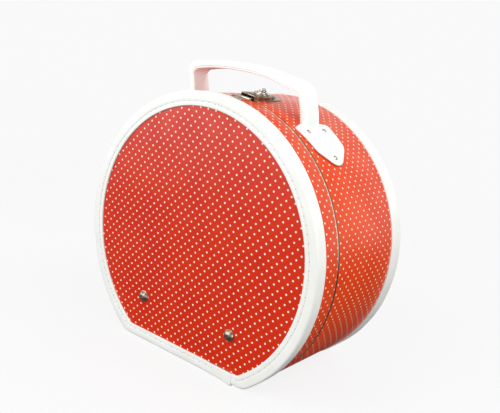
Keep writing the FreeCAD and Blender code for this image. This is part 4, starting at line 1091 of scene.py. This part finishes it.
HINGES = [f"hinge_{part}_{side_name}" for part in ("leaf_lid", "leaf_base", "pin")
          for side_name, side in SIDES]
FINISHES = (
    (FACE_VINYL, ("lid_face_cover",)),
    (BACK_VINYL, ("back_cover",)),
    (HARDBOARD, ("lid_face_board", "lid_hoop_board", "base_hoop_board", "back_board")),
    (LINING_FLAT_CLOTH, ("lid_lining_panel", "back_lining_panel")),
    (LID_FRAME_METAL, ("lid_frame",)),
    (BASE_FRAME_PAINTED_SHADE, ("base_frame",)),
    (HINGE_STEEL, (*HINGES, "hinge_rivets_lid", "hinge_rivets_base")),
    (NICKEL, ("stud_washers", "handle_washers", "striker_washers", "lock_washers", "striker_rivets",
              "lock_rivets")),
    (CHROME, ("latch_lever",)),
    (RIBBON_CLOTH, ("stay_patches",)),
)
for material, names in FINISHES:
    for name in names:
        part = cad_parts[name]
        part.data.materials.clear()
        part.data.materials.append(material)


# Studio

# Width in metres, power in watts, and place.
LAMPS = (("key_lamp", 0.4, 5.5, (0.8, 0.3, 1.15)),
         ("front_lamp", 0.8, 6.4, (-0.3, -0.85, 0.95)),
         ("side_lamp", 1.0, 7.2, (1.45, -0.4, 0.3)))


def floor_sheet():
    """A pale sheet, faint enough to see through, that fades out round the box."""
    mesh = bpy.data.meshes.new("floor")
    corners = ((-6.0, -6.0), (6.0, -6.0), (6.0, 6.0), (-6.0, 6.0))
    mesh.from_pydata([(x, y, CAD_BOX[0][2]) for x, y in corners], [], [(0, 1, 2, 3)])
    floor = added("floor", mesh)
    material, tree, shader = finish("pale_floor", Base_Color=paint(248, 248, 248), Roughness=0.95,
                                    Specular_IOR_Level=0.0)
    away = node(tree, "ShaderNodeVectorMath", (object_place(tree),), operation="LENGTH").outputs["Value"]
    feed(shader, "Alpha", ramp(tree, away, 0.2, 1.4, 0.1, 0.0))
    mesh.materials.append(material)


def surroundings():
    """White all round and dark below, with a brighter patch in front, on the left."""
    world = bpy.data.worlds.new("studio")
    world.use_nodes = True
    bpy.context.scene.world = world
    tree = world.node_tree
    back = tree.nodes["Background"]
    seen = node(tree, "ShaderNodeLightPath").outputs["Is Camera Ray"]
    direction = node(tree, "ShaderNodeTexCoord").outputs["Generated"]
    up = node(tree, "ShaderNodeSeparateXYZ", (direction,)).outputs[2]
    glow = sums(tree, "MULTIPLY", ramp(tree, up, -0.3, 0.04, 0.01, 0.95),
                ramp(tree, up, 0.15, 0.9, 1.0, 0.5))
    facing = node(tree, "ShaderNodeVectorMath", (direction, (-0.6, -0.8, 0.0)), operation="DOT_PRODUCT")
    patch = sums(tree, "MULTIPLY", ramp(tree, facing.outputs["Value"], 0.78, 0.97, 0.0, 2.1),
                 ramp(tree, up, -0.24, 0.0))
    glow = sums(tree, "ADD", glow, patch)
    strength = sums(tree, "ADD", sums(tree, "MULTIPLY", seen, 0.947),
                    sums(tree, "MULTIPLY", sums(tree, "SUBTRACT", 1.0, seen), glow))
    tree.links.new(strength, back.inputs["Strength"])
    back.inputs["Color"].default_value = (1.0, 1.0, 1.0, 1.0)
    bpy.context.scene.view_settings.view_transform = "Standard"


def lamps():
    """Soft lamps, each turned to the middle of the box."""
    for name, size, energy, spot in LAMPS:
        lamp = bpy.data.lights.new(name, "AREA")
        lamp.size = size
        lamp.energy = energy
        holder = added(name, lamp)
        holder.location = spot
        towards = Vector((0.0, 0.0, 0.15)) - holder.location
        holder.rotation_euler = towards.to_track_quat("-Z", "Y").to_euler()


EYE = (0.3882, 0.2471, 4.572)  # to the right, up and back from the middle of the front, in radii


def camera():
    """A little above the box and to its right, with the frame tilted slightly."""
    lens = bpy.data.cameras.new("camera")
    lens.lens = 49.3
    lens.sensor_width = 36.0
    holder = added("camera", lens)
    azimuth, elevation, roll = (math.radians(angle) for angle in (37.349, 13.513, 7.087))
    back = Vector((math.sin(azimuth) * math.cos(elevation), -math.cos(azimuth) * math.cos(elevation),
                   math.sin(elevation)))
    right = Vector((math.cos(azimuth), math.sin(azimuth), 0.0))
    up = back.cross(right)
    tilted_right = math.cos(roll) * right + math.sin(roll) * up
    tilted_up = back.cross(tilted_right)
    middle = Vector((0.0, FRONT, CENTRE))
    spot = middle + RADIUS * (EYE[0] * tilted_right + EYE[1] * tilted_up + EYE[2] * back)
    holder.matrix_world = Matrix((tilted_right, tilted_up, back)).transposed().to_4x4()
    holder.location = spot
    bpy.context.scene.camera = holder


floor_sheet()
surroundings()
lamps()
camera()
